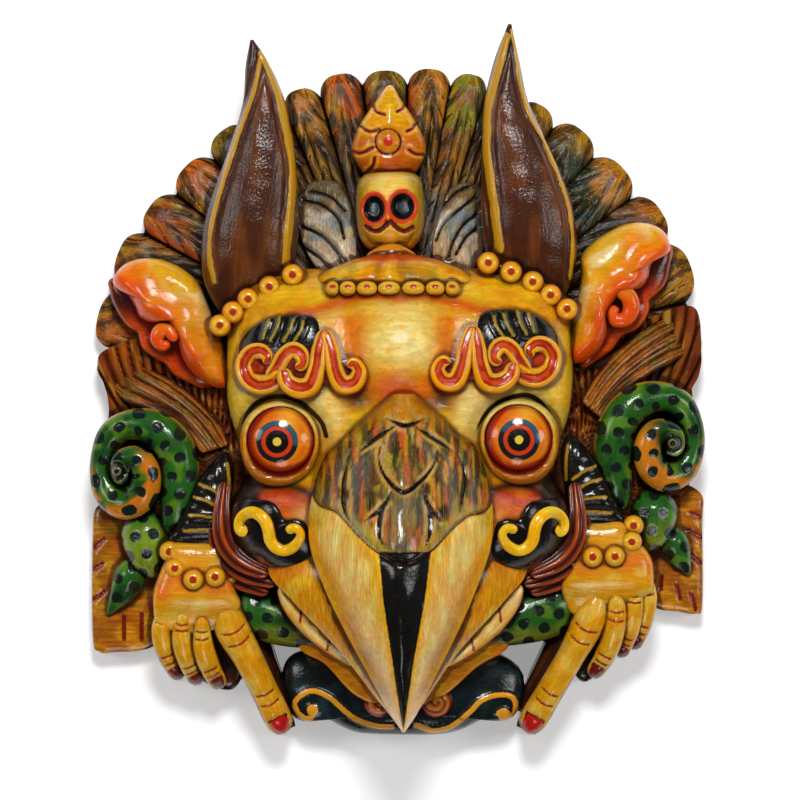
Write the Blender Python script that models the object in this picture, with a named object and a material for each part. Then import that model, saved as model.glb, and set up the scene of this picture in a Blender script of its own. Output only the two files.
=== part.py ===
"""A carved and painted garuda mask, lying face up on its flat back.

It is one block of wood. A beaked face with horns, ears, curled brows and a moustache stands in
front of a fan of feathers. A skull and a jewel sit above the face, a coiled snake and a hand on
each side of it, and a cloud scroll below. The back is hollowed behind the face.

+Y runs to the tips of the horns, +X to the viewer's right and +Z out of the face. The origin is
under the middle of the mask, in the plane of its back.
"""

import math

import bmesh
import bpy
import numpy as np

# Driving sizes, in metres.
HEIGHT = 0.356
RIM_WIDTH = 0.019
FRONT_WALL = 0.024
FACE_DEPTH = 0.074

# The carving is laid out in units of one 356th of the height, a millimetre on this mask.
UNITS_HIGH = 356
UNIT = HEIGHT / UNITS_HIGH
FACE_TOP = FACE_DEPTH / UNIT
FACE_RIM = 32
BOSS_RISE = 13
SOCKET_DEPTH = 13
SOCKET_RADIUS = 22
HOLLOW_EDGE = 3
TRIM = 4
FOOT_STEP = 0.05

# Feathers of the fan.
FAN_MIDDLE = (0.25, 5.5)
FAN_RISE = 18
FEATHER_RIM = 9
FEATHER_CROWN = 7
FEATHER_NOTCH = 7
FEATHER_LIFT = 3
FEATHER_TIP = 0.1
FEATHER_SAMPLES = 4
FEATHERS = (
    (-7, 149), (7, 153.5), (20, 156.5), (31, 155), (42, 152.5), (53, 152.5), (62, 152), (69, 151.5),
    (75.6, 154), (83.5, 153), (92.7, 151.5), (101.5, 152.5), (110, 150.5), (117, 149.5), (126, 150),
    (136, 148.5), (147, 150), (156, 153), (171, 153.7), (180, 151.5),
)
FAN_FOOT_REACH = 92
FAN_RINGS = 4

# Round trimmings.
HORN_BEAD = 5.2
WRIST_BEAD = 5.3
BEADS_PER_HORN = 5
EYE_RADIUS = 18
EYE_TOP = 73
EYE_SPOKES = 14
LID_TOP = 68
EYE_HEIGHT = 56
LID_HALF_WIDTH = 2.4
EYES = ((-57.75, -29), (59.75, -28))

# Smoothness of the carving.
TUBE_SIDES = 8
ARCH_SIDES = 3
BROAD_ARCH_SIDES = 4
BEAD_SEGMENTS = 7
BEAD_RINGS = 4
FACETS_KEPT = 0.6


def smooth(rows, count, closed=False):
    """Rows spaced evenly along the smooth curve that passes through the given rows."""
    rows = np.asarray(rows, float)
    if closed:
        spans = len(rows)
        padded = np.vstack([rows[-1:], rows, rows[:2]])
    else:
        spans = len(rows) - 1
        padded = np.vstack([2 * rows[0] - rows[1], rows, 2 * rows[-1] - rows[-2]])
    place = np.linspace(0, spans, count, endpoint=not closed)
    span = np.minimum(place.astype(int), spans - 1)
    t = (place - span)[:, None]
    before, start, end, after = (padded[span + i] for i in range(4))
    return 0.5 * (
        2 * start
        + (end - before) * t
        + (2 * before - 5 * start + 4 * end - after) * t**2
        + (3 * start - before - 3 * end + after) * t**3
    )


def unit(vectors):
    return vectors / np.linalg.norm(vectors, axis=-1, keepdims=True)


def solid(name, points, faces, collection):
    """A closed object from points in carving units, with its faces turned outwards."""
    mesh = bpy.data.meshes.new(name)
    mesh.from_pydata((np.asarray(points) * UNIT).tolist(), [], faces)
    work = bmesh.new()
    work.from_mesh(mesh)
    bmesh.ops.recalc_face_normals(work, faces=work.faces)
    bmesh.ops.triangulate(work, faces=work.faces)
    work.to_mesh(mesh)
    work.free()
    made = bpy.data.objects.new(name, mesh)
    collection.objects.link(made)
    return made


def lofted(name, rings, collection):
    """A closed body through rings of points that all have as many points."""
    rings = np.asarray(rings)
    count, sides = rings.shape[:2]
    faces = [tuple(range(sides)), tuple(range(sides * count - 1, sides * (count - 1) - 1, -1))]
    for i in range(count - 1):
        for k in range(sides):
            after = (k + 1) % sides
            low, high = i * sides, (i + 1) * sides
            faces.append((low + after, low + k, high + k, high + after))
    return solid(name, rings.reshape(-1, 3), faces, collection)


def foot_of(collection):
    """A level below the back, a little lower for each form, so that no two undersides meet."""
    return -TRIM - FOOT_STEP * len(collection.objects)


def arch(name, rows, rings, collection, roundness=0.9, sides=ARCH_SIDES):
    """A ridge with a round back and upright sides. Each row is x, y, half width and top height."""
    path = smooth(rows, rings)
    along = unit(np.gradient(path[:, :2], axis=0))
    across = np.stack([-along[:, 1], along[:, 0]], 1)
    turn = np.linspace(0, math.pi, sides + 1)
    half, top = path[:, 2:3], path[:, 3:4]
    side = np.cos(turn) * half
    rise = top - roundness * half * (1 - np.sin(turn))
    side = np.hstack([side, -half, half])
    rise = np.hstack([rise, np.full((rings, 2), foot_of(collection))])
    plan = path[:, None, :2] + side[..., None] * across[:, None, :]
    return lofted(name, np.dstack([plan, rise]), collection)


def tube(name, rows, rings, collection, sides=TUBE_SIDES):
    """A free limb of oval section. Each row is x, y, z, half width and half depth."""
    path = smooth(rows, rings)
    along = unit(np.gradient(path[:, :3], axis=0))
    across = unit(np.cross((0, 0, 1), along))
    up = np.cross(along, across)
    turn = np.arange(sides) * 2 * math.pi / sides
    width = np.cos(turn)[None, :, None] * path[:, 3][:, None, None]
    depth = np.sin(turn)[None, :, None] * path[:, 4][:, None, None]
    return lofted(name, path[:, None, :3] + width * across[:, None] + depth * up[:, None], collection)


def relief(name, outline, hub, rim, top, spokes, rings, collection, bulge=2.5, carve=None, curved=True):
    """A domed panel over a closed outline, with upright sides down past the back."""
    edge = smooth(outline, spokes, closed=True) if curved else np.asarray(outline, float)
    spokes = len(edge)
    shares = np.linspace(0, 1, rings + 1)[1:]
    plan = np.asarray(hub) + shares[:, None, None] * (edge - hub)
    rise = np.repeat((rim + (top - rim) * np.sqrt(1 - shares**bulge))[:, None], spokes, axis=1)
    middle = float(top)
    if carve:
        rise = carve(plan[..., 0], plan[..., 1], rise)
        middle = float(carve(np.array(hub[0]), np.array(hub[1]), np.array(middle)))
    layers = np.dstack([plan, rise])
    foot = np.dstack([plan[-1:], np.full((1, spokes), foot_of(collection))])
    points = np.vstack([[(*hub, middle)], layers.reshape(-1, 3), foot.reshape(-1, 3)])
    faces = [(0, 1 + k, 1 + (k + 1) % spokes) for k in range(spokes)]
    for i in range(rings):
        for k in range(spokes):
            after = (k + 1) % spokes
            low, high = 1 + i * spokes, 1 + (i + 1) * spokes
            faces.append((low + k, high + k, high + after, low + after))
    faces.append(tuple(range(1 + rings * spokes, 1 + (rings + 1) * spokes))[::-1])
    return solid(name, points, faces, collection)


def ball(name, middle, radii, collection, segments=BEAD_SEGMENTS, rings=BEAD_RINGS):
    """An oval ball."""
    points = [(0, 0, 1)]
    for i in range(1, rings):
        tilt = math.pi * i / rings
        for k in range(segments):
            turn = 2 * math.pi * k / segments
            across = math.sin(tilt)
            points.append((across * math.cos(turn), across * math.sin(turn), math.cos(tilt)))
    points.append((0, 0, -1))
    last = len(points) - 1
    faces = [(0, 1 + k, 1 + (k + 1) % segments) for k in range(segments)]
    for i in range(rings - 2):
        low, high = 1 + i * segments, 1 + (i + 1) * segments
        for k in range(segments):
            after = (k + 1) % segments
            faces.append((low + k, high + k, high + after, low + after))
    low = last - segments
    faces += [(low + k, last, low + (k + 1) % segments) for k in range(segments)]
    return solid(name, np.array(points) * radii + middle, faces, collection)


def mirrored(rows, shift=0.0, lift=0.0):
    """The same rows on the other side, moved outwards by shift and raised by lift per unit of x."""
    rows = np.array(rows, float)
    rows[:, 0] = shift - rows[:, 0]
    rows[:, 1] += lift * rows[:, 0]
    return rows


def carve_fan(carving):
    """The fan of feathers, whose lower half is a plain disc behind the face."""
    edge = []
    crowns = []
    angles = [angle for angle, reach in FEATHERS]
    for i, (angle, reach) in enumerate(FEATHERS):
        low = (angles[max(i - 1, 0)] + angle) / 2
        high = (angles[min(i + 1, len(angles) - 1)] + angle) / 2
        for k in range(FEATHER_SAMPLES):
            t = 2 * k / FEATHER_SAMPLES - 1
            turn = angle + (t * (angle - low) if t < 0 else t * (high - angle))
            edge.append((turn, reach - FEATHER_NOTCH * abs(t) ** 2.5))
            crowns.append(FEATHER_CROWN * (1 - abs(t)))
    below = range(190, 350, 10)
    edge += [(turn, FAN_FOOT_REACH) for turn in below]
    crowns += [0 for turn in below]
    turns, reaches = np.array(edge).T
    outline = np.stack([
        FAN_MIDDLE[0] + reaches * np.cos(np.radians(turns)),
        FAN_MIDDLE[1] + reaches * np.sin(np.radians(turns)),
    ], 1)
    crowns = np.array(crowns)

    def feathers(x, y, rise):
        if np.ndim(x) == 0:
            return rise
        shares = np.hypot(x - FAN_MIDDLE[0], y - FAN_MIDDLE[1]) / reaches
        drop = np.clip((shares - 1) / FEATHER_TIP + 1, 0, 1) ** 2 * (FEATHER_CROWN / 2)
        crown = crowns * np.clip(shares * 1.6, 0, 1)
        return FEATHER_RIM + FEATHER_LIFT + FAN_RISE * (1 - shares) + crown - drop

    return relief("fan", outline, FAN_MIDDLE, FEATHER_RIM, FEATHER_RIM + FAN_RISE, 0, FAN_RINGS, carving,
                  carve=feathers, curved=False)


# The edge of the face, from the top round the viewer's right side.
FACE_EDGE = (
    (0, 58), (-40, 57), (-70, 54), (-83, 42), (-85, 26), (-85, -9), (-77, -44), (-85, -62), (-85, -78),
    (-77, -92), (-58, -103), (-32, -112), (0, -116), (34, -112), (60, -103), (79, -92), (87, -78),
    (87, -62), (79, -44), (87, -9), (87, 26), (85, 42), (72, 54), (40, 57),
)
FACE_MIDDLE = (1, -25)


def carve_face(carving):
    """The domed face with its forehead boss and eye hollows."""

    def boss_and_sockets(x, y, rise):
        rise = rise + BOSS_RISE * np.exp(-(((x - 1) / 23) ** 2) - ((y - 20) / 26) ** 2)
        for eye in EYES:
            away = np.hypot(x - eye[0], y - eye[1])
            rise = rise - SOCKET_DEPTH * np.exp(-((away / SOCKET_RADIUS) ** 4))
        return rise

    relief("face", FACE_EDGE, FACE_MIDDLE, FACE_RIM, FACE_TOP, 32, 6, carving, bulge=4,
           carve=boss_and_sockets)
    relief("crown", ((-41, 50), (-24, 60), (-2, 64), (22, 60), (38, 50), (22, 43), (-2, 41), (-24, 43)),
           (-2, 51), 50, 68, 16, 3, carving)


def carve_eyes(carving):
    for side, (x, y) in zip(("left", "right"), EYES):
        turns = np.linspace(0, 2 * math.pi, EYE_SPOKES, endpoint=False)
        ring = np.stack([x + EYE_RADIUS * np.cos(turns), y + EYE_RADIUS * np.sin(turns)], 1)
        lid = (x, y) + (ring - (x, y)) * (1 + 2 * LID_HALF_WIDTH / EYE_RADIUS)
        relief(f"{side}_lid", lid, (x, y), EYE_HEIGHT, LID_TOP, 0, 3, carving, bulge=8, curved=False)
        relief(f"{side}_eye", ring, (x, y), LID_TOP - 4, EYE_TOP, 0, 3, carving, bulge=2, curved=False)


def carve_brows(carving):
    """Three curls and a tongue over each eye, with a block of hair above them."""
    curls = {
        "outer": ((-48, -1, 3, 79), (-60, -3.5, 4, 78), (-71, 0, 4.5, 73), (-75.5, 8, 4.5, 71),
                  (-71, 15, 4.3, 75), (-65, 12, 4, 78)),
        "middle": ((-33, -1, 3, 82), (-45, -3.5, 4, 82), (-54, 1, 4.5, 82), (-56, 9, 4.5, 82),
                   (-50, 15.5, 4.3, 83), (-45, 10, 4, 84)),
        "inner": ((-38, 0, 4, 84), (-28, -4, 4.2, 86), (-20, -1, 4.2, 87), (-19, 7, 4, 87),
                  (-25, 10, 3.5, 87)),
        "tongue": ((-34, -3, 4, 86), (-37, 8, 6.5, 88), (-38.5, 20, 6, 87), (-38, 29, 2, 84)),
    }
    hair = ((-79.5, 2), (-80, 16), (-72, 27), (-58, 33), (-45, 33), (-38, 28), (-44, 8), (-62, 4))
    for name, rows in curls.items():
        arch(f"left_{name}_curl", rows, 9, carving, roundness=0.7)
        arch(f"right_{name}_curl", mirrored(rows, 2, 0.05), 9, carving, roundness=0.7)
    relief("left_brow_hair", hair, (-60, 17), 62, 77, 12, 2, carving)
    relief("right_brow_hair", mirrored(hair, 2, 0.05), (62, 19), 62, 77, 12, 2, carving)


def carve_beak(carving):
    """The hooked upper beak and the flatter lower one, as sections across their length."""

    def sections(name, rows, count, sides, keel):
        stations = smooth(rows, count)
        turn = np.arange(sides) * 2 * math.pi / sides
        across, up = np.cos(turn), np.sin(turn)
        rings = []
        for y, x, half, top, side, bottom in stations:
            level = np.where(up >= 0, side + (top - side) * (1 - np.abs(across) ** keel),
                             side + (side - bottom) * up)
            rings.append(np.stack([x + half * across, np.full(sides, y), level], 1))
        lofted(name, rings, carving)

    upper = (
        (-6, 3, 12, 84, 62, 40), (-20, 3, 26, 95, 66, 40), (-36, 2.5, 38, 107, 70, 42),
        (-55, 2, 44, 118, 73, 46), (-78, 1.5, 45, 126, 77, 52), (-100, 1.5, 38, 128, 82, 60),
        (-122, 2, 28, 125, 86, 66), (-145, 2.5, 16, 117, 89, 74), (-162, 3, 7, 107, 90, 83),
        (-171.5, 3, 0.8, 97, 91, 89),
    )
    lower = (
        (-78, 0, 58, 74, 52, 40), (-94, 0, 64, 78, 54, 42), (-109, 0.5, 52, 80, 60, 46),
        (-133, 1, 29.5, 85, 69, 55), (-155, 2, 13, 89, 79, 66), (-170, 3, 1.5, 90, 87, 84),
    )
    sections("upper_beak", upper, 11, 14, 1.7)
    sections("lower_beak", lower, 7, 10, 2.2)


def carve_moustache(carving):
    """An S curl on each cheek with the beard strands that sweep round it."""
    body = ((-83, -76), (-83, -66), (-77, -60.5), (-68, -60), (-59, -66), (-52, -69), (-44.5, -75),
            (-45, -85), (-52, -92), (-62, -91), (-69, -86), (-77, -84))
    curl = ((-73, -74, 3, 68), (-77, -77.5, 3.2, 66), (-80.5, -71.5, 3.3, 64), (-77, -65.5, 3.3, 66),
            (-69, -66, 3.4, 69), (-65, -73, 3.5, 70), (-63.5, -81, 3.4, 70), (-57.5, -85.2, 3.4, 71),
            (-49.5, -82, 3.3, 72), (-48.5, -75, 3.1, 72), (-54, -73.5, 2.8, 72))
    strands = (
        ((-88, -54, 2.5, 42), (-88, -70, 3.5, 46), (-84, -83, 4, 48), (-75, -91.5, 4, 50),
         (-62, -96, 2.5, 52)),
        ((-87, -76, 2, 40), (-84, -90, 4, 42), (-74, -98, 4, 46), (-60, -102, 2.5, 48)),
    )
    relief("left_moustache", body, (-65, -76), 56, 64, 14, 2, carving)
    relief("right_moustache", mirrored(body, 4), (69, -76), 56, 64, 14, 2, carving)
    arch("left_moustache_curl", curl, 17, carving)
    arch("right_moustache_curl", mirrored(curl, 4), 17, carving)
    for i, rows in enumerate(strands):
        arch(f"left_beard_{i}", rows, 5, carving)
        arch(f"right_beard_{i}", mirrored(rows, 2), 5, carving)


def carve_horns(carving):
    left = (
        (-74, 36, 36, 15, 9), (-75, 52, 39, 22, 12), (-73.5, 70, 41, 23.7, 13),
        (-71.5, 85.5, 42, 22.3, 12.5), (-67.5, 114, 43, 16.6, 10.5), (-66.5, 137.5, 44, 11, 8),
        (-70, 158, 45, 5.8, 5), (-72.5, 170.2, 46, 0.8, 0.8),
    )
    right = (
        (68.5, 38, 36, 14, 9), (67.5, 58, 39, 21.5, 12), (65.7, 74.5, 41, 23.2, 13),
        (63.3, 90.5, 42, 22.2, 12.5), (57.7, 118, 43, 16, 10.5), (54.2, 138, 44, 11.2, 8),
        (54.4, 160, 45, 6.3, 5), (55.9, 178, 46, 0.8, 0.8),
    )
    bands = (
        ("left", ((-88, 28, 0), (-74, 41, 0), (-52, 53, 0))),
        ("right", ((45, 59, 0), (67, 49.5, 0), (84, 36, 0))),
    )
    tube("left_horn", left, 11, carving)
    tube("right_horn", right, 11, carving)
    for side, line in bands:
        arch(f"{side}_bead_band", [(x, y, 4.5, 49) for x, y, _ in line], 5, carving)
        for i, (x, y, _) in enumerate(smooth(line, BEADS_PER_HORN)):
            ball(f"{side}_horn_bead_{i}", (x, y, 50), (HORN_BEAD, HORN_BEAD, HORN_BEAD), carving)


def carve_ears(carving):
    """Leaf-shaped ears that point down to the cheeks, each with a curl at its lower edge."""
    left = ((-141, 49), (-137.5, 58), (-129, 62), (-117, 61), (-104, 55), (-97, 44), (-91, 31),
            (-87, 17), (-86.5, 0), (-88, -4), (-97, 0), (-105, 8), (-110, 16), (-118, 26), (-128, 31),
            (-134, 41))
    left_back = ((-143, 45), (-142, 37), (-136, 28), (-127.5, 19), (-122, 13), (-111, 3), (-100, -2),
                 (-92, 3), (-100, 30), (-130, 52))
    right = ((92, 62), (100, 72.5), (112, 78.8), (122.5, 79.7), (131.5, 77), (136, 69), (135, 62),
             (127, 55), (120, 43), (110, 32), (104, 24), (97, 13), (88, 1), (86, 15), (87, 31),
             (91, 46))
    right_back = ((136.5, 58), (133, 47), (127, 38), (122, 30), (113, 21), (104, 13), (90, 2),
                  (95, 25), (110, 50), (128, 66))
    relief("left_ear", left, (-108, 34), 30, 46, 20, 3, carving)
    relief("left_ear_back", left_back, (-116, 22), 22, 26, 14, 1, carving)
    ball("left_ear_curl", (-116.3, 21.2, 30), (6.6, 6.6, 9), carving)
    relief("right_ear", right, (108, 48), 30, 46, 20, 3, carving)
    relief("right_ear_back", right_back, (115, 36), 22, 26, 14, 1, carving)
    ball("right_ear_curl", (110.8, 33.5, 30), (8.2, 8.2, 10), carving)


def carve_snakes(carving):
    """Each snake coils beside the face, and its thick body shows again behind the beak."""
    left = (
        (-114.5, -76, 5, 34), (-112, -62, 7, 40), (-111, -45, 8.3, 44), (-115, -31, 8.7, 45),
        (-124, -23, 8.3, 44), (-135, -21.5, 6.7, 41), (-144.5, -28, 6, 37), (-148, -42, 6, 34),
        (-145, -55, 7.5, 36), (-136, -60.5, 8.3, 40), (-127.5, -56, 8, 44), (-125, -46, 6.5, 46),
        (-129, -38, 4.5, 46), (-136, -36.5, 3, 43),
    )
    right = (
        (112, -63, 5, 34), (110.3, -50, 7, 40), (109.8, -34, 8.3, 44), (112.5, -19, 8.5, 45),
        (121, -9.8, 8, 44), (132, -6.8, 6.3, 41), (142.5, -10.5, 5.3, 38), (148.5, -22, 4.8, 35),
        (148.3, -34, 5.5, 34), (143, -44, 7, 36), (134, -47.5, 7.5, 40), (126.5, -42, 7.3, 44),
        (124.5, -32.5, 6.3, 46), (128, -24.5, 4.3, 46), (136, -22.5, 3, 43),
    )
    arch("left_coil", left, 25, carving, sides=BROAD_ARCH_SIDES)
    arch("right_coil", right, 25, carving, sides=BROAD_ARCH_SIDES)
    lobes = (
        ("left_lobe", ((-128, -66, 8, 32), (-127, -77, 9, 34), (-126, -86, 6.5, 30),
                       (-125, -95, 3, 24))),
        ("left_tail", ((-134, -92, 5, 22), (-136, -101, 5.7, 24), (-140.5, -109, 3.6, 21),
                       (-145.5, -117, 0.8, 17))),
        ("right_lobe", ((128.5, -55, 8, 32), (129.3, -65, 9, 34), (130, -74, 7, 30),
                        (128, -83, 3, 24))),
        ("right_tail", ((137.5, -72, 3.5, 22), (139.6, -81, 4.9, 24), (142, -89, 3.6, 21),
                        (146.5, -97, 0.8, 17))),
        ("left_body", ((-84, -106, 11, 38), (-64, -117, 13, 42), (-44, -121, 12, 44),
                       (-24, -122, 10, 44))),
        ("right_body", ((92, -107, 13, 38), (72, -114, 15, 42), (54, -119, 13, 44),
                        (32, -122, 10, 44))),
    )
    for name, rows in lobes:
        arch(name, rows, 5, carving)


def carve_hands(carving):
    """Two hands that hang over the snakes, with beads at the wrists."""
    left_palm = ((-113, -79), (-100, -79), (-87, -79), (-84, -91), (-80, -103), (-79, -112), (-84, -120),
                 (-92, -124), (-102, -126), (-112, -125), (-120, -120), (-121, -104), (-117, -92))
    right_palm = ((112, -69), (102, -69), (86, -70), (84, -82), (82, -92), (82, -104), (86, -114), (94, -118),
                  (103, -115), (113, -112), (123, -107), (127, -102), (127, -91), (120, -79))
    relief("left_palm", left_palm, (-101, -104), 41, 46, 14, 2, carving, bulge=2.4)
    relief("right_palm", right_palm, (105, -94), 41, 46, 14, 2, carving, bulge=2.4)
    left = (
        ("little_finger", ((-116, -112, 5, 42), (-117.5, -124, 5.4, 40), (-115, -136, 5.2, 35),
                           (-108.5, -149, 4, 26))),
        ("ring_finger", ((-107, -114, 5, 44), (-107.5, -128, 5.2, 42), (-104.5, -140, 5, 37),
                         (-99, -151.5, 4.2, 27))),
        ("middle_finger", ((-97.5, -117, 5, 45), (-97, -132, 5.2, 43), (-93, -144, 5, 37),
                           (-88, -153.5, 4.2, 27))),
        ("long_finger", ((-88, -106, 8.5, 42), (-83, -121, 9, 45), (-75.5, -136, 7.6, 42),
                         (-67.5, -152, 6.9, 38), (-60.5, -167, 7, 35), (-56.2, -176, 5.2, 31))),
        ("thumb", ((-75, -120, 8, 26), (-69, -140, 8, 26), (-62, -158, 7.5, 26), (-57, -169, 6.5, 24))),
    )
    right = (
        ("little_finger", ((124.5, -98, 4.6, 42), (125, -108, 4.6, 40), (122.5, -121, 4.6, 35),
                           (117.5, -134, 3.6, 26))),
        ("ring_finger", ((118, -100, 4.8, 44), (118, -111, 5, 42), (116, -124, 4.8, 37),
                         (111, -138, 3.6, 27))),
        ("middle_finger", ((109, -106, 5.4, 45), (109, -118, 5.6, 43), (105, -134, 5.4, 37),
                           (97, -148, 4, 27))),
        ("long_finger", ((101, -104, 8, 42), (96, -118, 8.4, 45), (87, -136, 6.9, 41), (76, -155, 6.9, 38),
                         (68.5, -168, 7, 35), (64.8, -176, 5.2, 31))),
        ("thumb", ((89, -118, 8, 26), (80, -137, 8, 26), (72, -153, 7.5, 26), (65, -168, 6.5, 24))),
    )
    beads = {
        "left": ((-113.5, -84.5, 40), (-110.7, -92.7, 44), (-101.5, -98.3, 47), (-90.6, -97, 46),
                 (-83.5, -96, 40)),
        "right": ((87.5, -88.5, 42), (97, -87, 47), (108, -86.7, 47), (116.5, -79.5, 44),
                  (117.5, -71.5, 40)),
    }
    for side, limbs in (("left", left), ("right", right)):
        for name, rows in limbs:
            arch(f"{side}_{name}", rows, 6, carving)
        for i, middle in enumerate(beads[side]):
            ball(f"{side}_wrist_bead_{i}", middle, (WRIST_BEAD, WRIST_BEAD, 4.5), carving)


def carve_sides(carving):
    """Mane panels and strands beside the cheeks, and the wing panels below them."""
    left_mane = ((-147, 16), (-150.5, 6), (-147.5, -1), (-145, -14), (-146, -50), (-120, -80),
                 (-72, -84), (-68, -20), (-76, 4), (-120, 22))
    right_mane = ((148, 38), (152.5, 16), (151.5, 4), (146.5, -10), (148, -48), (120, -74), (74, -82),
                  (70, -20), (78, 4), (118, 28))
    left_wing = ((-150.5, -62), (-153.3, -78), (-153.3, -128), (-150, -135.5), (-144, -136),
                 (-120, -131), (-104, -100), (-112, -62), (-134, -56))
    right_wing = ((152.5, -56), (153.3, -72), (153.3, -112), (150, -116.5), (142, -115.5), (126, -111),
                  (108, -84), (112, -58), (136, -50))

    def climb(x, y, rise):
        return np.interp(np.hypot(np.abs(x) - 85, y + 49), (10, 66), (34, 16))

    relief("left_mane", left_mane, (-114, -28), 15, 20, 16, 2, carving, carve=climb)
    relief("right_mane", right_mane, (116, -18), 15, 20, 16, 2, carving, carve=climb)
    relief("left_wing", left_wing, (-130, -95), 12, 15, 18, 1, carving)
    relief("right_wing", right_wing, (132, -84), 12, 15, 18, 1, carving)
    left_hand_back = ((-113, -92), (-111, -138), (-98, -150), (-84, -154.5), (-77, -147), (-70, -136),
                      (-61, -129), (-47, -104), (-54, -92), (-80, -80))
    right_hand_back = ((120, -84), (117, -126), (105, -142), (94, -150.5), (87, -144), (79, -132),
                       (72, -129), (52, -102), (56, -92), (84, -78))
    relief("left_hand_back", left_hand_back, (-86, -115), 18, 22, 18, 1, carving)
    relief("right_hand_back", right_hand_back, (90, -112), 18, 22, 18, 1, carving)
    ridges = (
        ((-147, 3, 2, 20), (-135, -5, 4, 27), (-117, -12, 5, 33), (-104, -24, 5, 37),
         (-98, -38, 3, 39)),
        ((-133, 4, 3, 24), (-113, -5, 5, 34), (-99, -19, 6, 39), (-89, -32, 4, 41)),
        ((147, 28, 2.5, 20), (126, 17, 5, 30), (107, 2, 6, 37), (95, -13, 5.5, 40), (90, -27, 3, 41)),
        ((150, 14, 3, 20), (132, 5, 5, 27), (114, -5, 5, 34), (102, -20, 5, 38), (98, -34, 3, 39)),
    )
    for i, rows in enumerate(ridges):
        arch(f"mane_ridge_{i}", rows, 6, carving)
    fans = (
        ((-99, -42, 3, 38), (-86, -47, 4, 44)), ((-103, -52, 3.5, 38), (-86, -56, 4.5, 44)),
        ((-107, -63, 4, 38), (-86, -65, 4.5, 44)), ((-112, -74, 4.5, 36), (-86, -75, 5, 44)),
    )
    for i, rows in enumerate(fans):
        arch(f"left_cheek_strand_{i}", rows, 3, carving)
        arch(f"right_cheek_strand_{i}", mirrored(rows, 1) + (0, 6, 0, 0), 3, carving)


def carve_bottom(carving):
    """The cloud scroll below the beak, with the chin panel and two ringed studs over it."""
    scroll = ((-58, -154), (-57, -143), (-52, -137), (-43, -135), (-34, -139), (-26, -147), (-18, -154),
              (3, -155), (24, -154), (33, -147), (41, -140), (49, -136), (57, -140), (63, -146), (64, -154),
              (62, -162), (57, -168), (51, -170), (46, -168), (33, -174), (22, -176.5), (3, -177),
              (-18, -176), (-27, -173.5), (-39, -167.5), (-44, -170), (-51, -169), (-56, -162))
    chin = ((-52, -104), (-50, -131), (-36, -141), (-20, -157), (1, -163), (22, -157), (40, -142),
            (56, -131), (58, -108), (2, -98))
    relief("scroll", scroll, (3, -165), 19, 30, 40, 2, carving)
    relief("chin", chin, (1, -132), 36, 42, 18, 1, carving)
    for name, x in (("left_stud", -9), ("right_stud", 19.3)):
        ball(name, (x, -159.5, 28), (8.5, 8.5, 10), carving, 10)


def carve_crest(carving):
    """The skull on its collar, the jewel over it and the pair of plumes beside it."""
    jewel = ((-4, 148.5), (-12.5, 138), (-18.5, 129), (-22.5, 119), (-21.5, 112), (-15, 103),
             (-4, 100), (7, 103), (13, 112), (13.8, 120), (9, 130), (2.5, 140))
    relief("jewel", jewel, (-4.5, 119), 30, 40, 18, 3, carving)
    skull = ((-3, 105), (7, 104), (12, 100), (13, 90), (13, 78), (10, 70), (5, 65), (-3, 64), (-12, 65),
             (-18, 70), (-20, 80), (-20, 90), (-19, 100), (-14, 104))
    relief("skull", skull, (-3.5, 87), 38, 52, 14, 3, carving)
    arch("collar", ((-15, 60, 3, 46), (-3, 63.5, 5.5, 52), (9, 60, 3, 46)), 5, carving)
    left_plume = ((-45, 103, 10, 15), (-40, 92, 13, 26), (-36, 80, 14, 33), (-32, 65, 12, 38),
                  (-26, 50, 6, 42))
    right_plume = ((40, 103, 10, 15), (37, 91, 12.5, 26), (33, 78, 13, 33), (29, 64, 12, 38),
                   (24, 50, 6, 42))
    arch("left_plume", left_plume, 6, carving, roundness=0.35)
    arch("right_plume", right_plume, 6, carving, roundness=0.35)
    for i, x in enumerate((-23.4, -15, -5, 7.8, 19.5)):
        ball(f"crown_bead_{i}", (x, 46, 64), (5, 4, 6), carving)


def hollow_of_the_back(cutters):
    """The space behind the face, inside a rim of the stated width."""
    edge = smooth(FACE_EDGE, 32, closed=True)
    away = edge - FACE_MIDDLE
    length = np.linalg.norm(away, axis=1, keepdims=True)
    edge = FACE_MIDDLE + away * (length - RIM_WIDTH / UNIT) / length
    depth = FACE_TOP - FRONT_WALL / UNIT
    return relief("hollow", edge, FACE_MIDDLE, HOLLOW_EDGE, depth, 0, 6, cutters, bulge=3,
                  curved=False)


def helper_collection(name):
    made = bpy.data.collections.new(name)
    bpy.context.scene.collection.children.link(made)
    return made


def add_boolean(obj, operation, other, solver="EXACT"):
    modifier = obj.modifiers.new(operation.lower(), "BOOLEAN")
    modifier.solver = solver
    modifier.operation = operation
    if isinstance(other, bpy.types.Collection):
        modifier.operand_type = "COLLECTION"
        modifier.collection = other
    else:
        modifier.object = other


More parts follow.
